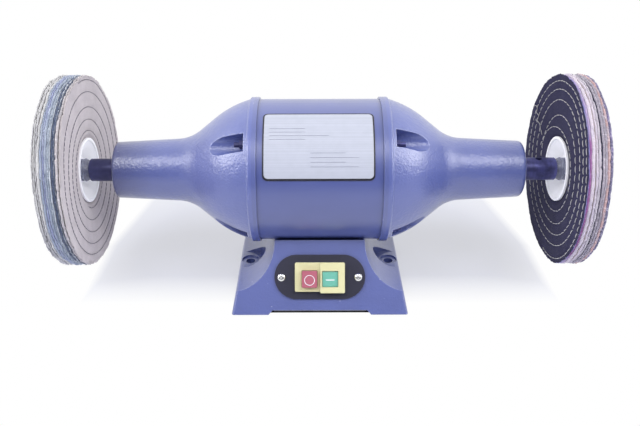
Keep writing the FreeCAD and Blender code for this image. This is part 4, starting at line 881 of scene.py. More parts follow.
@dataclass(frozen=True)
class Seam:
    """A spiral row of stitches on a buff's face.

    The radii, in millimetres, are those at each quarter turn.  The first stitch lies after the skip, and the
    tail is the unpicked thread's Y and Z.
    """

    radii: Sequence[float]
    phase: float
    skip: float
    tail: Sequence[Pair] = ()

    @property
    def turns(self) -> float:
        """Whole and part turns of the spiral."""
        return (len(self.radii) - 1) / QUARTERS

    def radius(self, turn: np.ndarray | float) -> np.ndarray | float:
        """Distance from the shaft line after a number of turns, smooth through the quarter turns' radii."""
        radii = self.radii
        known = np.array([2 * radii[0] - radii[1], *radii, 2 * radii[-1] - radii[-2]])
        place = np.clip(np.asarray(turn) * QUARTERS, 0, len(radii) - 1.001)
        first = place.astype(int)
        t = place - first
        p0, p1, p2, p3 = (known[first + step] for step in range(4))
        square, cube = 2 * p0 - 5 * p1 + 4 * p2 - p3, 3 * p1 - p0 - 3 * p2 + p3
        return (2 * p1 + (p2 - p0) * t + square * t**2 + cube * t**3) / 2 * MM

    def spot(self, turn: float) -> Pair:
        """Y and Z of the seam, measured from the shaft line, after a number of turns."""
        angle = self.phase + TURN * turn
        reach = float(self.radius(turn))
        return reach * math.cos(angle), reach * math.sin(angle)

    def distance(self, y: np.ndarray, z: np.ndarray) -> np.ndarray:
        """How far points on the face are from the nearest turn of the seam."""
        first = np.mod((np.arctan2(z, y) - self.phase) / TURN, 1.0)
        reach = np.hypot(y, z)
        nearest = np.full_like(reach, FAR)
        for lap in range(math.ceil(self.turns)):
            turn = first + lap
            sewn = (turn >= self.skip) & (turn <= self.turns)
            gap = np.where(sewn, np.abs(reach - self.radius(turn)), FAR)
            nearest = np.minimum(nearest, gap)
        return nearest


@dataclass
class Buff:
    """A stitched stack of cloth discs clamped between two dished flanges.

    The lean says how far the front edge, the top edge and a saddle shape stand out along the shaft.  While a
    ply is turned, its share of the stack's thickness is stored along X, over the spread.
    """

    side: int
    name: str
    plies: Sequence[Ply]
    seam: Seam
    yarn: Yarn
    slot: str
    seed: int
    lean: Sequence[float]
    stitch: float
    stitch_gap: float
    stitch_radius: float
    steps: int = 432
    gap: float = 0.12 * MM
    gap_opens: Pair = (60 * MM, 100 * MM)
    wave: float = 0.36 * MM
    wave_drift: float = 2.2
    free: float = 4 * MM
    rag: float = 0.6 * MM
    rag_grows: Pair = (85 * MM, 100 * MM)
    rag_share: float = 0.55
    nick_share: float = 1.4
    drop: float = 0.85 * MM
    clamp_depth: float = 3 * MM
    dish: float = 3.2 * MM
    dish_left: float = 0.36
    dimple: float = 0.55 * MM
    dimple_width: float = 1.7 * MM
    pucker_rates: Pair = (83.0, 900.0)
    rumple: float = 0.12 * MM
    rumple_rates: Pair = (210.0, 170.0)
    quilt_fade: float = 6 * MM
    bore: float = 10.2 * MM
    slack: float = 0.4 * MM
    spread: float = 0.1
    rounding: float = 0.9 * MM
    outline_rings: Sequence[float] = tuple(r * MM for r in (17, 30, 39, 48, 60, 78, 90))
    fine_ring: float = 1.2 * MM
    wave_counts: Sequence[int] = (3, 5, 7, 11, 17, 26)
    rag_counts: Sequence[int] = (3, 7, 13, 29, 53, 97, 151)
    stitch_cuts: Sequence[float] = (-0.4, -0.22, 0.0, 0.22, 0.4)
    stitch_scatter: float = 0.04
    tail_share: float = 0.8
    frays: int = 280
    fray_cuts: Sequence[float] = (-0.2, 0.1, 0.35)
    fray_bend: float = 0.9 * MM
    fray_length: float = 3.2 * MM
    fray_radius: float = 0.15 * MM
    fray_root: float = 0.6 * MM

    def __post_init__(self) -> None:
        """Reads the buff's place from the construction frame."""
        low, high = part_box(f"{self.name}_buff")
        self.axis = (low.z + high.z) / 2
        self.height = self.axis - self.drop
        self.rim = (high.z - low.z) / 2
        self.face, self.back = sorted((abs(low.x), abs(high.x)))
        flange_low, flange_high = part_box(f"{self.name}_inner_flange")
        self.flange = (flange_high.z - flange_low.z) / 2
        self.lip, self.hub = sorted((abs(flange_low.x), abs(flange_high.x)))
        outer_low, outer_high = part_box(f"{self.name}_outer_flange")
        self.press = min(abs(outer_low.x), abs(outer_high.x))
        self.random = np.random.default_rng(self.seed)
        self.phases = self.random.uniform(0, TURN, 8)

    def walls(self, y: np.ndarray, z: np.ndarray) -> tuple[np.ndarray, np.ndarray]:
        """Where the stack's two faces lie, pinched between the flanges.

        Args:
            y: Distances to the back of the cloth's middle.
            z: Distances above the cloth's middle.

        Returns:
            The motor side's and the outside's distances along the shaft.
        """
        radius = np.hypot(y, z - self.drop)
        slack, flange, lip, clamp = self.slack, self.flange, self.lip, self.press + self.clamp_depth
        # Each knot is a distance from the shaft line and one along it.
        near = [(self.bore, self.hub + slack), (17.4 * MM, self.hub + slack),
                (flange - 1.4 * MM, lip + 4 * MM + slack), (flange + 1.0 * MM, lip + 2.2 * MM + slack),
                (flange + 4.5 * MM, self.face + self.dish), (70 * MM, self.face + self.dish * self.dish_left),
                (self.rim, self.face)]
        far = [(self.bore, self.press - slack), (15.4 * MM, self.press - slack),
               (flange - 1.4 * MM, clamp - slack), (flange + 3.4 * MM, clamp),
               (60 * MM, self.back - 0.4 * MM), (self.rim, self.back)]
        return np.interp(radius, *zip(*near)), np.interp(radius, *zip(*far))

    def sway(self, angle: np.ndarray, depth: np.ndarray, radius: np.ndarray) -> np.ndarray:
        """How far the stack leans and wanders along the shaft, growing towards the rim."""
        growth = ramp(radius, self.flange + self.free, self.rim + self.free)
        across, up, twice = self.lean
        total = np.zeros_like(angle)
        for count, phase in zip(self.wave_counts, self.phases):
            drift = self.wave_drift * depth * math.sin(phase * 3)
            total += np.sin(count * angle + phase + drift) / count**0.5
        leaning = -across * np.cos(angle) + up * np.sin(angle) + twice * np.cos(2 * angle)
        return leaning * growth + total * self.wave * growth**2

    def rag_of(self, angle: np.ndarray, number: int) -> np.ndarray:
        """How far one ply's edge stands proud or short round the rim."""
        total = np.zeros_like(angle)
        for k, count in enumerate(self.rag_counts):
            phase = self.phases[k] * (number + 2.3) * 1.7
            total += np.sin(count * angle + phase) / (1 + 0.35 * k)
        nicks = np.clip(np.sin(61 * angle + self.phases[3]) * np.sin(17 * angle + number), 0, 1) ** 2
        return (total * self.rag_share - nicks * self.nick_share) * self.rag

    def ply(self, number: int, start: float, end: float, item: Ply) -> Piece:
        """One bundle of layers as a closed, wavy disc.

        Args:
            number: The ply's place in the stack.
            start: Share of the stack's thickness at which it starts.
            end: Share at which it ends.
            item: Its sizes and cloth.

        Returns:
            The ply's object.
        """
        rim = self.rim - item.short
        thick = (end - start) * (self.back - self.face)
        soft = min(thick * 0.45, self.rounding)
        inner = number == 0
        outer = number == len(self.plies) - 1
        pinched = [self.bore, *self.outline_rings[:2]]
        coarse = [*pinched, self.flange, *self.outline_rings[2:]]
        fine = [*pinched, *np.arange(self.flange - 1.4 * MM, rim - 3 * MM, self.fine_ring)]
        near = [(start, r) for r in (fine if inner else coarse) if r < rim - soft]
        far = [(end, r) for r in (fine if outer else coarse) if r < rim - soft]
        tip = [(start, rim - soft), (start + (end - start) * 0.2, rim - soft * 0.28),
               (start + (end - start) * 0.5, rim), (start + (end - start) * 0.8, rim - soft * 0.28),
               (end, rim - soft)]
        outline = near + tip + far[::-1]
        spread_out = [(self.side * share * self.spread, r) for share, r in outline]
        piece = turned(f"{self.name}_buff_ply_{number + 1:02d}", spread_out, self.steps, self.height)
        with reshaping(piece) as points:
            share = np.abs(points[:, 0]) / self.spread
            y, z = points[:, 1], points[:, 2] - self.height
            radius, angle = np.hypot(y, z), np.arctan2(z, y)
            face, back = self.walls(y, z)
            depth = face + (back - face) * share
            squeeze = self.gap * ramp(radius, *self.gap_opens)
            depth += np.where(share < (start + end) / 2, squeeze, -squeeze)
            depth += self.sway(angle, share, radius)
            if inner or outer:
                wall = share < 1e-4 if inner else share > 1 - 1e-4
                push = self.quilt(y, z, radius) * (1 if inner else -1)
                depth += np.where(wall, push, 0.0)
            grown = radius + self.rag_of(angle, number) * ramp(radius, *self.rag_grows)
            points[:, 0] = self.side * depth
            points[:, 1] = np.cos(angle) * grown
            points[:, 2] = self.height + np.sin(angle) * grown
        return piece

    def quilt(self, y: np.ndarray, z: np.ndarray, radius: np.ndarray) -> np.ndarray:
        """How deep the stitches pull the face cloth in."""
        gap = self.seam.distance(y, z)
        around, outward = self.pucker_rates
        pucker = 0.75 + 0.25 * np.sin(np.arctan2(z, y) * around + radius * outward)
        pulled = self.dimple * np.exp(-((gap / self.dimple_width) ** 2)) * pucker
        back, up = self.rumple_rates
        rumple = np.sin(y * back + self.phases[1]) * np.sin(z * up + self.phases[2]) * self.rumple
        return (pulled + rumple + self.rumple) * ramp(radius, self.flange, self.flange + self.quilt_fade)

    def stitches(self) -> Piece:
        """The seam's stitches on both faces."""
        deselect()
        bpy.ops.mesh.primitive_cylinder_add(vertices=6, radius=self.stitch_radius, depth=self.stitch,
                                            rotation=(0, math.pi / 2, 0))
        model = christen("stitch_model")
        bpy.ops.object.transform_apply(location=False, rotation=True, scale=False)
        with editing():
            slice_up(0, (cut * self.stitch for cut in self.stitch_cuts))
        with reshaping(model) as points:
            share = np.abs(points[:, 0]) / (self.stitch / 2)
            points[:, 1:] *= (1 - 0.3 * share**4)[:, None]
            points[:, 2] -= self.stitch_radius * 1.6 * share**4
        places = []
        for face in (-1, 1):
            turn = self.seam.skip
            while turn < self.seam.turns:
                ahead = self.seam.spot(turn + 0.002)
                places.append(self.stitch_place(self.seam.spot(turn), ahead, face))
                turn += (self.stitch + self.stitch_gap) / (TURN * float(self.seam.radius(turn)))
        return scattered(f"{self.name}_buff_stitches", model, places)

    def lying(self, y: float, z: float, face: int) -> float:
        """Distance along the shaft of a spot on one face of the finished stack."""
        spot = np.array([y]), np.array([z])
        radius, angle = np.hypot(*spot), np.arctan2(spot[1], spot[0])
        depth = self.walls(*spot)[0 if face < 0 else 1] + self.sway(angle, np.array([max(face, 0.0)]), radius)
        return float(depth[0])

    def stitch_place(self, spot: Pair, ahead: Pair, face: int) -> Matrix:
        """Where one stitch lies.

        Args:
            spot: Y and Z of the stitch's middle, measured from the cloth's middle.
            ahead: A spot a little further along the seam.
            face: -1 on the motor side, 1 on the outside.

        Returns:
            A matrix whose X runs along the seam and whose Z points out of the cloth.
        """
        y, z = spot
        along = Vector((0, ahead[0] - y, ahead[1] - z)).normalized()
        along.rotate(Matrix.Rotation(self.random.normal(0, self.stitch_scatter), 3, "X"))
        out = Vector((self.side * face, 0, 0))
        sunk = self.lying(y, z, face) - face * (self.dimple * 0.6 - self.stitch_radius * 0.6)
        place = Matrix((along, out.cross(along), out)).transposed().to_4x4()
        place.translation = Vector((self.side * sunk, y, self.height + z))
        return place

    def loose_end(self) -> Piece:
        """The seam's unpicked end, a thin thread that lies in loops on the motor side."""
        line = bpy.data.curves.new("loose_end", "CURVE")
        line.dimensions = "3D"
        line.bevel_depth = self.stitch_radius * self.tail_share
        line.bevel_resolution = 1
        line.resolution_u = 6
        spline = line.splines.new("NURBS")
        spline.points.add(len(self.seam.tail) - 1)
        for number, (point, (y, z)) in enumerate(zip(spline.points, self.seam.tail)):
            lift = (0.5 + 0.5 * (number % 2)) * MM
            x = self.side * (self.lying(y * MM, z * MM, -1) - lift)
            point.co = (x, y * MM, self.height + z * MM, 1)
        spline.order_u = 3
        spline.use_endpoint_u = True
        choose(linked("loose_end", line))
        bpy.ops.object.convert(target="MESH")
        return christen(f"{self.name}_buff_loose_end")

    def fray(self) -> Piece:
        """Loose thread ends along the rim."""
        length = self.fray_length
        deselect()
        bpy.ops.mesh.primitive_cylinder_add(vertices=4, radius=self.fray_radius, depth=length)
        model = christen("fray_model")
        with editing():
            slice_up(2, (cut * length for cut in self.fray_cuts))
        with reshaping(model) as points:
            lift = points[:, 2] / length + 0.5
            points[:, 0] += self.fray_bend * lift**2
            points[:, :2] *= (1.15 - 0.5 * lift)[:, None]
        places = []
        for _ in range(self.frays):
            angle, share = self.random.uniform(0, TURN), 0.02 + 0.96 * self.random.uniform() ** 1.7
            out = Vector((0, math.cos(angle), math.sin(angle)))
            lean = Vector(self.random.normal(0, 0.55, 3)) + out
            place = lean.to_track_quat("Z", "Y").to_matrix().to_4x4()
            place = place @ Matrix.Rotation(self.random.uniform(0, TURN), 4, "Z")
            place = place @ Matrix.Scale(self.random.uniform(0.35, 1.0), 4)
            reach = self.rim - self.fray_root
            depth = self.face + (self.back - self.face) * share
            depth += float(self.sway(np.array([angle]), np.array([share]), np.array([self.rim]))[0])
            place.translation = Vector((self.side * depth, 0, self.height)) + out * reach
            places.append(place)
        return scattered(f"{self.name}_buff_frays", model, places)

    def build(self) -> None:
        """Makes the stack, joins its plies into one padded piece and adds seam and frays."""
        total = sum(item.thickness for item in self.plies)
        made, start = [], 0.0
        for number, item in enumerate(self.plies):
            end = start + item.thickness / total
            piece = self.ply(number, start, end, item)
            piece.data.materials.append(item.cloth.material())
            made.append(piece)
            start = end
        cloth = joined(f"{self.name}_buff_cloth", made)
        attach(cloth, "rotor")
        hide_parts(f"{self.name}_buff")
        LOG.info("%s: %d faces", cloth.name, len(cloth.data.polygons))
        hand_over(self.stitches(), [self.yarn], "rotor")
        if self.seam.tail:
            hand_over(self.loose_end(), [self.yarn], "rotor")
        hand_over(self.fray(), [LINT], "rotor")


def cotton(name: str, colour: Colour, second: Colour | None = None, fibre: Colour | None = None,
           **settings: Value) -> Cloth:
    """A cloth finish whose second tone and thread tone follow its colour unless given."""
    paler = (*(min(1.0, part * 1.25 + 0.02) for part in colour[:3]), 1.0)
    return Cloth(name, colour, 0.85, thread_colour=fibre or paler, second=second or colour, **settings)


TAUPE = cotton("taupe_canvas", srgb(188, 180, 184), srgb(182, 174, 178), srgb(204, 197, 198), thread=0.8 * MM,
               over_share=0.16)
BEIGE = cotton("beige_muslin", srgb(184, 176, 180), srgb(156, 151, 158), srgb(226, 224, 230), ends_share=0.8,
               patch=9 * MM)
INDIGO = cotton("indigo_denim", srgb(42, 53, 82), srgb(54, 66, 98), srgb(140, 152, 178), twill=1.0)
BASTING = cotton("basted_muslin", srgb(214, 220, 232), srgb(60, 70, 112), patch=3 * MM)
WHITE_THREAD = cotton("white_muslin", srgb(216, 222, 234), srgb(176, 188, 208), patch=8 * MM)
WASHED = cotton("washed_denim", srgb(108, 122, 142), srgb(138, 150, 168), srgb(208, 214, 226), twill=1.0,
                ends_share=0.8, patch=12 * MM)
PERIWINKLE = cotton("periwinkle_poplin", srgb(128, 136, 178), srgb(150, 158, 186), srgb(206, 212, 234))
SKY = cotton("sky_poplin", srgb(150, 160, 182), srgb(174, 182, 198), patch=12 * MM)
CREAM = cotton("cream_muslin", srgb(202, 202, 204), srgb(184, 184, 188))
UMBER = cotton("umber_drill", srgb(104, 98, 96), srgb(84, 80, 84))
STONE = cotton("stone_muslin", srgb(194, 193, 197), srgb(174, 173, 180))
NAVY = cotton("navy_drill", srgb(33, 31, 63), srgb(38, 36, 69), srgb(46, 44, 80), twill=1.0, ends_share=0.3,
              sheen=0.05, over_share=0.2, soiling=0.15)
LAVENDER = cotton("lavender_poplin", srgb(142, 140, 204), srgb(176, 172, 214), patch=14 * MM)
MAGENTA = cotton("magenta_poplin", srgb(172, 162, 200), srgb(136, 66, 132), srgb(190, 150, 200),
                 front_second=True)
ROSE_WHITE = cotton("rose_white_muslin", srgb(206, 196, 210), srgb(190, 182, 200), patch=10 * MM)
ASH = cotton("ash_muslin", srgb(190, 184, 196), srgb(170, 162, 176), patch=12 * MM)
SAND = cotton("sand_muslin", srgb(182, 168, 166), srgb(160, 150, 156))
SALMON = cotton("salmon_muslin", srgb(188, 148, 150), srgb(162, 154, 172), srgb(226, 206, 208),
                ends_share=0.8, patch=9 * MM)
SLATE = cotton("slate_canvas", srgb(144, 138, 156), srgb(166, 158, 174), srgb(208, 200, 210), ends_share=0.8)
LINTED = cotton("linted_drill", srgb(58, 58, 104), srgb(108, 96, 150), srgb(206, 200, 222), ends_share=0.7,
                patch=12 * MM)
DARK_YARN = Yarn("dark_yarn", srgb(48, 50, 76), 0.8)
CREAM_YARN = Yarn("cream_yarn", srgb(194, 192, 192), 0.8)
LINT = Yarn("white_lint", srgb(224, 226, 234), 0.9)

# Both stacks run from the motor side outward.
LEFT_PLIES = (
    Ply(6.0, TAUPE, 0.4 * MM), Ply(2.0, UMBER, 2.4 * MM), Ply(9.0, BEIGE, 0.1 * MM),
    Ply(4.0, INDIGO, 0.5 * MM), Ply(0.9, BASTING, 0.3 * MM), Ply(11.6, INDIGO, 0.6 * MM),
    Ply(2.5, WHITE_THREAD), Ply(10.0, WASHED, 0.4 * MM), Ply(9.0, SKY, 0.2 * MM),
    Ply(8.0, PERIWINKLE, 0.6 * MM), Ply(8.0, SKY, 0.3 * MM), Ply(8.5, CREAM), Ply(1.2, UMBER, 1.6 * MM),
    Ply(6.0, STONE, 0.1 * MM), Ply(1.2, UMBER, 1.8 * MM), Ply(5.0, CREAM, 0.2 * MM),
    Ply(1.2, UMBER, 1.4 * MM), Ply(5.9, STONE, 0.5 * MM),
)
RIGHT_PLIES = (
    Ply(3.0, NAVY, 0.3 * MM), Ply(3.0, LAVENDER, 0.2 * MM), Ply(10.0, MAGENTA, 0.3 * MM),
    Ply(14.0, ROSE_WHITE), Ply(3.0, SAND, 0.9 * MM), Ply(10.0, ROSE_WHITE, 0.3 * MM),
    Ply(10.0, ASH, 0.1 * MM), Ply(4.0, NAVY, 1.0 * MM), Ply(10.0, SLATE, 0.3 * MM),
    Ply(10.0, SLATE, 0.1 * MM), Ply(10.0, SALMON), Ply(12.0, LINTED, 0.5 * MM),
)
LEFT_SEAM = Seam((36.5, 40.7, 42.0, 43.4, 49.0, 53.6, 54.4, 55.2, 61.5, 66.6, 67.2, 67.9, 74.0, 79.2, 81.5,
                  83.7, 87.2, 90.3, 93.2, 96.2), -math.pi, 0.15)
RIGHT_SEAM = Seam((57, 42, 43.5, 45.5, 51.5, 58.5, 59.5, 58.4, 66, 74.5, 73.6, 69.5, 78, 85.3, 84, 81, 88.5,
                   93.8, 94.7, 95.2), 0.0, 0.02,
                  ((90, 38), (85, 42), (79, 42), (77, 38), (81, 35), (74, 35), (70, 34), (74, 29), (79, 26),
                   (69, 28), (63, 26), (61, 23), (57, 20), (54, 18)))


# --- rating plate, switch panel and spindle threads ---------------------------------------------------------


@dataclass
class RatingPlate:
    """What is printed on the bare plate: a black frame, which is also a painted shadow, and blank ruled
    lines.
    """

    frame: tuple[float, float, float, float] = (1.4 * MM, 1.4 * MM, 2.1 * MM, 1.0 * MM)
    # The lap past the plate's edge is painted shadow of the plate.
    lap: float = 0.6 * MM
    corner: float = 4.5 * MM
    proud: float = 0.08 * MM
    film: float = 0.1 * MM
    slice: float = 1.5 * MM
    rule_width: float = 0.35 * MM
    rules: Sequence[Point] = (
        (-48.0, 16.5, 35.0), (-48.0, 12.5, 35.0), (-48.0, 8.5, 58.0), (-48.0, 4.5, 35.0),
        (-8.0, -9.5, 34.0), (-8.0, -14.0, 47.0), (-8.0, -18.5, 34.0), (-8.0, -23.0, 47.0),
    )

    def __post_init__(self) -> None:
        """Reads the plate's place and bend from the construction frame."""
        low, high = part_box("rating_plate")
        drum_low, drum_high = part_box("motor_drum")
        self.height = (drum_low.z + drum_high.z) / 2
        self.radius = math.hypot(low.y, low.z - self.height) + self.proud
        first, last = (math.atan2(z - self.height, -y) for y, z in ((low.y, low.z), (high.y, high.z)))
        self.middle_angle = (first + last) / 2
        self.tall = (last - first) * self.radius
        self.wide = high.x - low.x
        self.middle = (low.x + high.x) / 2

    def wrapped(self, piece: Piece) -> Piece:
        """Bends a flat piece round the drum; its Y becomes the way round and its Z stands off the plate."""
        with reshaping(piece) as points:
            angle = self.middle_angle + points[:, 1] / self.radius
            reach = self.radius + points[:, 2]
            points[:, 0] += self.middle
            points[:, 1], points[:, 2] = -np.cos(angle) * reach, self.height + np.sin(angle) * reach
        return piece

    def border(self) -> Piece:
        """The black frame, widest at the bottom and partly a painted shadow of the plate, most of all where
        it laps past the plate's edge.
        """
        wide, tall = self.wide + 2 * self.lap, self.tall + 2 * self.lap
        piece = card("rating_plate_border", wide, tall, self.corner + self.lap)
        bpy.ops.mesh.inset(thickness=MM, depth=0.0)
        bpy.ops.object.mode_set(mode="OBJECT")
        inner = np.array([vertex.select for vertex in piece.data.vertices])
        left, right, bottom, top = self.frame
        with reshaping(piece) as points:
            for axis, size, low, high in ((0, wide, left, right), (1, tall, bottom, top)):
                spread = (size - low - high) / (size - 2 * MM)
                points[inner, axis] = points[inner, axis] * spread + (low - high) / 2
        bpy.ops.object.mode_set(mode="EDIT")
        bpy.ops.mesh.delete(type="FACE")
        slice_up(1, (number * self.slice - tall / 2 for number in range(1, int(tall / self.slice))))
        bpy.ops.object.mode_set(mode="OBJECT")
        apply(piece, "SOLIDIFY", thickness=self.film, offset=1.0)
        return self.wrapped(piece)

    def ruling(self) -> Piece:
        """Blank ruled lines where a maker's words would stand."""
        made = []
        for left, up, length in self.rules:
            line = card("rule", length * MM, self.rule_width, 0.0)
            bpy.ops.transform.translate(value=((left + length / 2) * MM, up * MM, 0))
            pull((0, 0, self.film / 2))
            bpy.ops.object.mode_set(mode="OBJECT")
            made.append(line)
        return self.wrapped(joined("rating_plate_rules", made))

    def build(self) -> None:
        """Makes the frame and the lines."""
        hand_over(self.border(), [INK_AND_SHADOW_BLACK], "stand")
        hand_over(self.ruling(), [GREY_INK], "stand")


@dataclass
class SwitchPanel:
    """Symbols on the two buttons and the cross-slotted screws of the switch plate."""

    lean: float = math.radians(30)
    stop_height: float = 17.0 * MM
    start_height: float = 15.9 * MM
    symbol_drop: float = 0.95 * MM
    ring: float = 5.35 * MM
    ring_width: float = 0.62 * MM
    bar: Pair = (9.1 * MM, 0.95 * MM)
    relief: float = 0.25 * MM
    screw_radius: float = 4.05 * MM
    screw_crown: float = 2.3 * MM
    screw_drop: float = 0.5 * MM
    slot_width: float = 1.15 * MM
    slot_length: float = 4.6 * MM
    slot_depth: float = 1.3
    slot_taper: float = 0.45
    slot_turns: dict[int, float] = field(default_factory=lambda: {-1: math.radians(-4), 1: math.radians(24)})
    bar_corner: float = 0.3 * MM
    edge: float = 0.1 * MM

    def __post_init__(self) -> None:
        """Works out the leaning front's direction."""
        self.sine, self.cosine = math.sin(self.lean), math.cos(self.lean)

    def standing(self, spot: Point) -> Matrix:
        """Matrix from a flat drawing to the leaning front, with its Z out of the face at a spot."""
        turn = Matrix(((1, 0, 0), (0, self.sine, -self.cosine), (0, self.cosine, self.sine))).to_4x4()
        turn.translation = Vector(spot)
        return turn

    def button_face(self, node: str, height: float) -> Point:
        """Middle of a button's front, shifted to where its symbol is centred."""
        low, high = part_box(node)
        half = height / 2
        return ((low.x + high.x) / 2, low.y + (half - self.symbol_drop) * self.sine,
                high.z - (half + self.symbol_drop) * self.cosine)

    def ring_symbol(self) -> Piece:
        """The ring on the stop button, a raised band with rounded edges."""
        deselect()
        bpy.ops.mesh.primitive_circle_add(vertices=64, radius=self.ring, fill_type="NGON")
        piece = christen("stop_button_ring")
        with editing():
            bpy.ops.mesh.inset(thickness=self.ring_width)
            bpy.ops.mesh.delete(type="FACE")
            bpy.ops.mesh.select_all(action="SELECT")
            pull((0, 0, self.relief))
        return self.finished(piece, self.button_face("stop_button", self.stop_height))

    def bar_symbol(self) -> Piece:
        """The bar on the start button."""
        piece = card("start_button_bar", *self.bar, self.bar_corner)
        pull((0, 0, self.relief))
        bpy.ops.object.mode_set(mode="OBJECT")
        return self.finished(piece, self.button_face("start_button", self.start_height))

    def finished(self, piece: Piece, spot: Point) -> Piece:
        """Rounds a symbol's edges and stands it on its button."""
        apply(piece, "BEVEL", width=self.edge, segments=2, limit_method="ANGLE")
        piece.data.transform(self.standing(spot))
        choose(piece)
        close_up(35)
        return piece

    def screw(self, side: int) -> Piece:
        """A domed screw head with a tapered cross slot, on a short shank."""
        radius, crown = self.screw_radius, self.screw_crown
        dome = [(0.45, 0.97), (0.78, 0.8), (0.95, 0.5), (1, 0.2), (1, 0)]
        outline = [(0.0, 0.0), (0.0, radius * 0.94), (0.3 * MM, radius),
                   *((crown * x, radius * r) for x, r in dome)]
        head = turned(f"switch_plate_screw_{side + 2}", outline, 48, 0.0)
        with reshaping(head) as points:
            points[:] = points[:, [1, 2, 0]]
        for order in (-1, 1):
            deselect()
            bpy.ops.mesh.primitive_cube_add(size=1.0, location=(0, 0, crown))
            cutter = christen("cutter")
            across = (self.slot_length, self.slot_width)[::order]
            with editing():
                bpy.ops.transform.resize(value=(*across, crown * self.slot_depth))
            with reshaping(cutter) as corners:
                corners[corners[:, 2] < 0, :2] *= self.slot_taper
            apply(head, "BOOLEAN", operation="DIFFERENCE", solver="EXACT", object=cutter)
            bpy.data.objects.remove(cutter)
        low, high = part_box("switch_plate_screws")
        front_y, top_z = low.y + radius * self.sine, high.z - radius * self.cosine
        seat = crown - self.relief / 2
        spot = (side * (high.x - radius), front_y + seat * self.cosine - self.screw_drop * self.sine,
                top_z - seat * self.sine - self.screw_drop * self.cosine)
        head.data.transform(Matrix.Rotation(self.slot_turns[side], 4, "Z"))
        head.data.transform(self.standing(spot))
        return head

    def build(self) -> None:
        """Makes the symbols and the screws."""
        hand_over(self.ring_symbol(), [WHITE_PLASTIC], "stop_button")
        hand_over(self.bar_symbol(), [WHITE_PLASTIC], "start_button")
        heads = joined("switch_plate_screw_heads", [self.screw(-1), self.screw(1)])
        choose(heads)
        bpy.ops.object.shade_smooth_by_angle(angle=math.radians(32))
        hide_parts("switch_plate_screws")
        hand_over(heads, [CHROME], "stand")


@dataclass
class SpindleThread:
    """The thread that shows past a spindle nut."""

    side: int
    name: str
    pitch: float = 1.5 * MM
    root: float = 8.9 * MM
    crest: float = 9.35 * MM
    chamfer: float = 1.4 * MM
    steps: int = 48

    def build(self) -> None:
        """Sweeps a saw of V teeth round the spindle's end."""
        low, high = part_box("shaft")
        nut_low, nut_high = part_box(f"{self.name}_spindle_nut")
        start = max(abs(nut_low.x), abs(nut_high.x)) - self.pitch
        end = min(abs(low.x), abs(high.x)) - self.chamfer
        rise = self.crest - self.root
        tooth = [(share * self.pitch, 0, step) for share, step in ((0.45, rise), (0.1, 0.0), (0.45, -rise))]
        teeth = max(1, int((end - start) / self.pitch))
        piece = chain(f"{self.name}_spindle_thread", (start, 0, self.root), tooth * teeth)
        bpy.ops.object.mode_set(mode="OBJECT")
        apply(piece, "SCREW", axis="X", angle=TURN, screw_offset=self.pitch, steps=self.steps, iterations=1,
              render_steps=self.steps)
        with reshaping(piece) as points:
            points[:, 0] = np.clip(points[:, 0], start, end) * self.side
            points[:, 2] += (low.z + high.z) / 2
        choose(piece)
        close_up(30)
        hand_over(piece, [ZINC], "rotor")


# --- studio -------------------------------------------------------------------------------------------------


@dataclass(frozen=True)
class SoftBox:
    """A square soft lamp, given for the right side and hung on both."""

    name: str
    place: Point
    aim: Point
    width: float
    power: float

    def hang(self, label: str, side: int) -> None:
        """Hangs the lamp on one side.

        Args:
            label: The side's name.
            side: -1 on the left, 1 on the right.
        """
        data = bpy.data.lights.new(f"{label}_{self.name}", "AREA")
        data.shape = "RECTANGLE"
        data.size = data.size_y = self.width
        data.energy = self.power
        lamp = linked(data.name, data)
        place, aim = (Vector((point[0] * side, *point[1:])) for point in (self.place, self.aim))
        lamp.location = place
        lamp.rotation_euler = (aim - place).to_track_quat("-Z", "Y").to_euler()


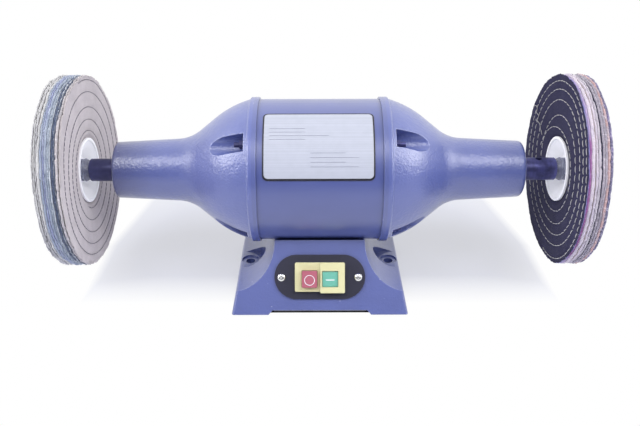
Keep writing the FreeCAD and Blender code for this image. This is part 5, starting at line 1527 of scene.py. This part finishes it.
@dataclass
class Studio:
    """White floor, soft lamps and the camera.

    The floor's painted shade fades over shade_reach from its middle, ends beside the machine over shade_side
    and in front of it over shade_front, and is solid under the body as far as the notch reaches.  The
    surroundings' light is a sum of ramps, each with two places on its axis and the light at both.
    """

    image_width: float = 640.0
    focal: float = 705.27
    sensor: float = 36.0
    axis_column: float = 313.0
    place: Point = (-0.00585, -0.6853, 0.4398)
    pitch: float = math.radians(28.26)
    roll: float = math.radians(0.17)
    floor_size: float = 2.6
    shade_middle: Point = (0.0, 50 * MM, 0.0)
    shade_squeeze: float = 0.75
    shade_reach: Pair = (160 * MM, 320 * MM)
    shade_light: float = 0.53
    shade_side: Pair = (226 * MM, 256 * MM)
    shade_slant: float = 0.2
    shade_front: Pair = (-5 * MM, -120 * MM)
    notch_front: float = -136.4 * MM
    notch_half: float = 55 * MM
    notch_shade_colour: Colour = srgb(40, 38, 60)
    paper_lit: Colour = srgb(232, 234, 246)
    shaded_paper_seen: Colour = srgb(180, 184, 206)
    light_above: Sequence[float] = (0.1, 0.9, 0.0, 0.62)
    light_aside: Sequence[float] = (0.3, 1.0, 0.0, 0.35)
    light_behind: Sequence[float] = (-0.1, 0.8, 0.05, 0.5)
    light_mirrored: Sequence[float] = (-0.1, 0.3, 0.0, 0.5)
    boxes: Sequence[SoftBox] = (
        SoftBox("front_box", place=(0.55, -0.72, 1.2), aim=(0.1, 0.0, 0.12), width=0.5, power=6.2),
        SoftBox("side_box", place=(1.3, -0.3, 0.8), aim=(0.0, 0.0, 0.12), width=0.8, power=13.0),
    )

    def camera(self) -> None:
        """The camera at its viewpoint, pitched down and rolled a little."""
        data = bpy.data.cameras.new("camera")
        data.sensor_width = self.sensor
        data.lens = self.focal * self.sensor / self.image_width
        data.shift_x = 0.5 - self.axis_column / self.image_width
        data.clip_start, data.clip_end = 0.01, 50.0
        camera = linked("camera", data)
        camera.location = self.place
        camera.rotation_euler = (math.pi / 2 - self.pitch, self.roll, 0.0)
        bpy.context.scene.camera = camera

    def floor(self) -> None:
        """A pale floor that keeps the object's shadow, with painted shade near and under the machine, and
        shows white elsewhere.
        """
        deselect()
        bpy.ops.mesh.primitive_plane_add(size=self.floor_size)
        floor = christen("studio_floor")
        made = bpy.data.materials.new("studio_paper")
        made.use_nodes = True
        w = Wiring(made.node_tree)
        shader = made.node_tree.nodes["Principled BSDF"]
        path = w.node("LightPath").outputs
        x, y, _ = w.axes(w.place(self.shade_middle))
        across = w.size(x)
        around = w.span(w.reach(w.times(x, self.shade_squeeze), y), *self.shade_reach, self.shade_light, 1.0)
        aside = w.span(w.plus(across, w.times(w.larger(y, 0.0), self.shade_slant)), *self.shade_side)
        lit = w.larger(w.larger(around, aside), w.span(y, *self.shade_front))
        # Painted shade: under the body's front notch the floor is dark and gets no white glow.
        below = w.times(w.math("GREATER_THAN", y, self.notch_front), w.math("LESS_THAN", y, 0.0))
        notch = w.times(w.math("LESS_THAN", across, self.notch_half), below)
        lit = w.times(lit, w.rest(notch))
        # Camera rays see a darker paper than bounced light does: painted shade where the floor's own shading
        # shows.
        paper = w.blend(path["Is Camera Ray"], self.paper_lit, self.shaded_paper_seen)
        w.fill(shader, {"Base Color": w.blend(notch, paper, self.notch_shade_colour), "Roughness": 0.9,
                        "Specular IOR Level": 0.1})
        seen = w.larger(path["Is Camera Ray"], w.larger(path["Is Glossy Ray"], path["Is Transmission Ray"]))
        glow = w.node("Emission", {"Color": WHITE, "Strength": 1.0})
        mixed = w.node("MixShader")
        for socket, value in zip(mixed.inputs, (w.times(seen, lit), shader.outputs[0], glow.outputs[0])):
            w.put(socket, value)
        w.put(made.node_tree.nodes["Material Output"].inputs["Surface"], mixed.outputs[0])
        floor.data.materials.append(made)

    def world(self) -> None:
        """White surroundings for what is seen and mirrored, softer for the light they give."""
        world = bpy.data.worlds.new("studio_world")
        bpy.context.scene.world = world
        world.use_nodes = True
        w = Wiring(world.node_tree)
        back = world.node_tree.nodes["Background"]
        path = w.node("LightPath").outputs
        x, y, z = w.axes(w.node("TexCoord").outputs["Generated"])
        above, aside = w.span(z, *self.light_above), w.span(w.size(x), *self.light_aside)
        behind = w.span(y, *self.light_behind)
        mirrored = w.times(path["Is Glossy Ray"], w.span(y, *self.light_mirrored))
        lit = w.plus(w.plus(above, aside), w.plus(behind, mirrored))
        seen = w.larger(path["Is Camera Ray"], path["Is Transmission Ray"])
        w.fill(back, {"Color": WHITE, "Strength": w.larger(seen, lit)})

    def build(self) -> None:
        """Sets up the whole studio."""
        self.camera()
        self.floor()
        self.world()
        for label, side in SIDES.items():
            for box in self.boxes:
                box.hang(label, side)
        bpy.context.scene.view_settings.view_transform = "Standard"


# --- the machine --------------------------------------------------------------------------------------------


@dataclass
class Carcass:
    """The construction nodes that show as they are, each dressed by its material slot."""

    nodes: dict[str, Piece]

    def build(self) -> None:
        """Gives every construction node its finish."""
        for name, piece in sorted(self.nodes.items()):
            for slot in piece.material_slots:
                finish = OWN_DRESS.get(name) or DRESS.get(slot.material.name.split(".")[0])
                if finish:
                    slot.material = finish.material()
                    LOG.info("%s wears %s", name, finish.name)


def main() -> None:
    """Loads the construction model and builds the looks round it."""
    logging.basicConfig(level=logging.INFO, format="%(message)s")
    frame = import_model()
    Carcass(frame["nodes"]).build()
    RatingPlate().build()
    SwitchPanel().build()
    for name, side in SIDES.items():
        SpindleThread(side, name).build()
    Buff(-1, "left", LEFT_PLIES, LEFT_SEAM, DARK_YARN, "left_cloth", seed=11,
         lean=(1.05 * MM, 0.5 * MM, -0.575 * MM), stitch=4.6 * MM, stitch_gap=0.7 * MM,
         stitch_radius=0.3 * MM, rag=0.95 * MM).build()
    Buff(1, "right", RIGHT_PLIES, RIGHT_SEAM, CREAM_YARN, "right_cloth", seed=23,
         lean=(-0.25 * MM, -0.75 * MM, -1.25 * MM), stitch=7.0 * MM, stitch_gap=1.7 * MM,
         stitch_radius=0.4 * MM, rag=0.7 * MM).build()
    Studio().build()


if __name__ == "__main__":
    main()
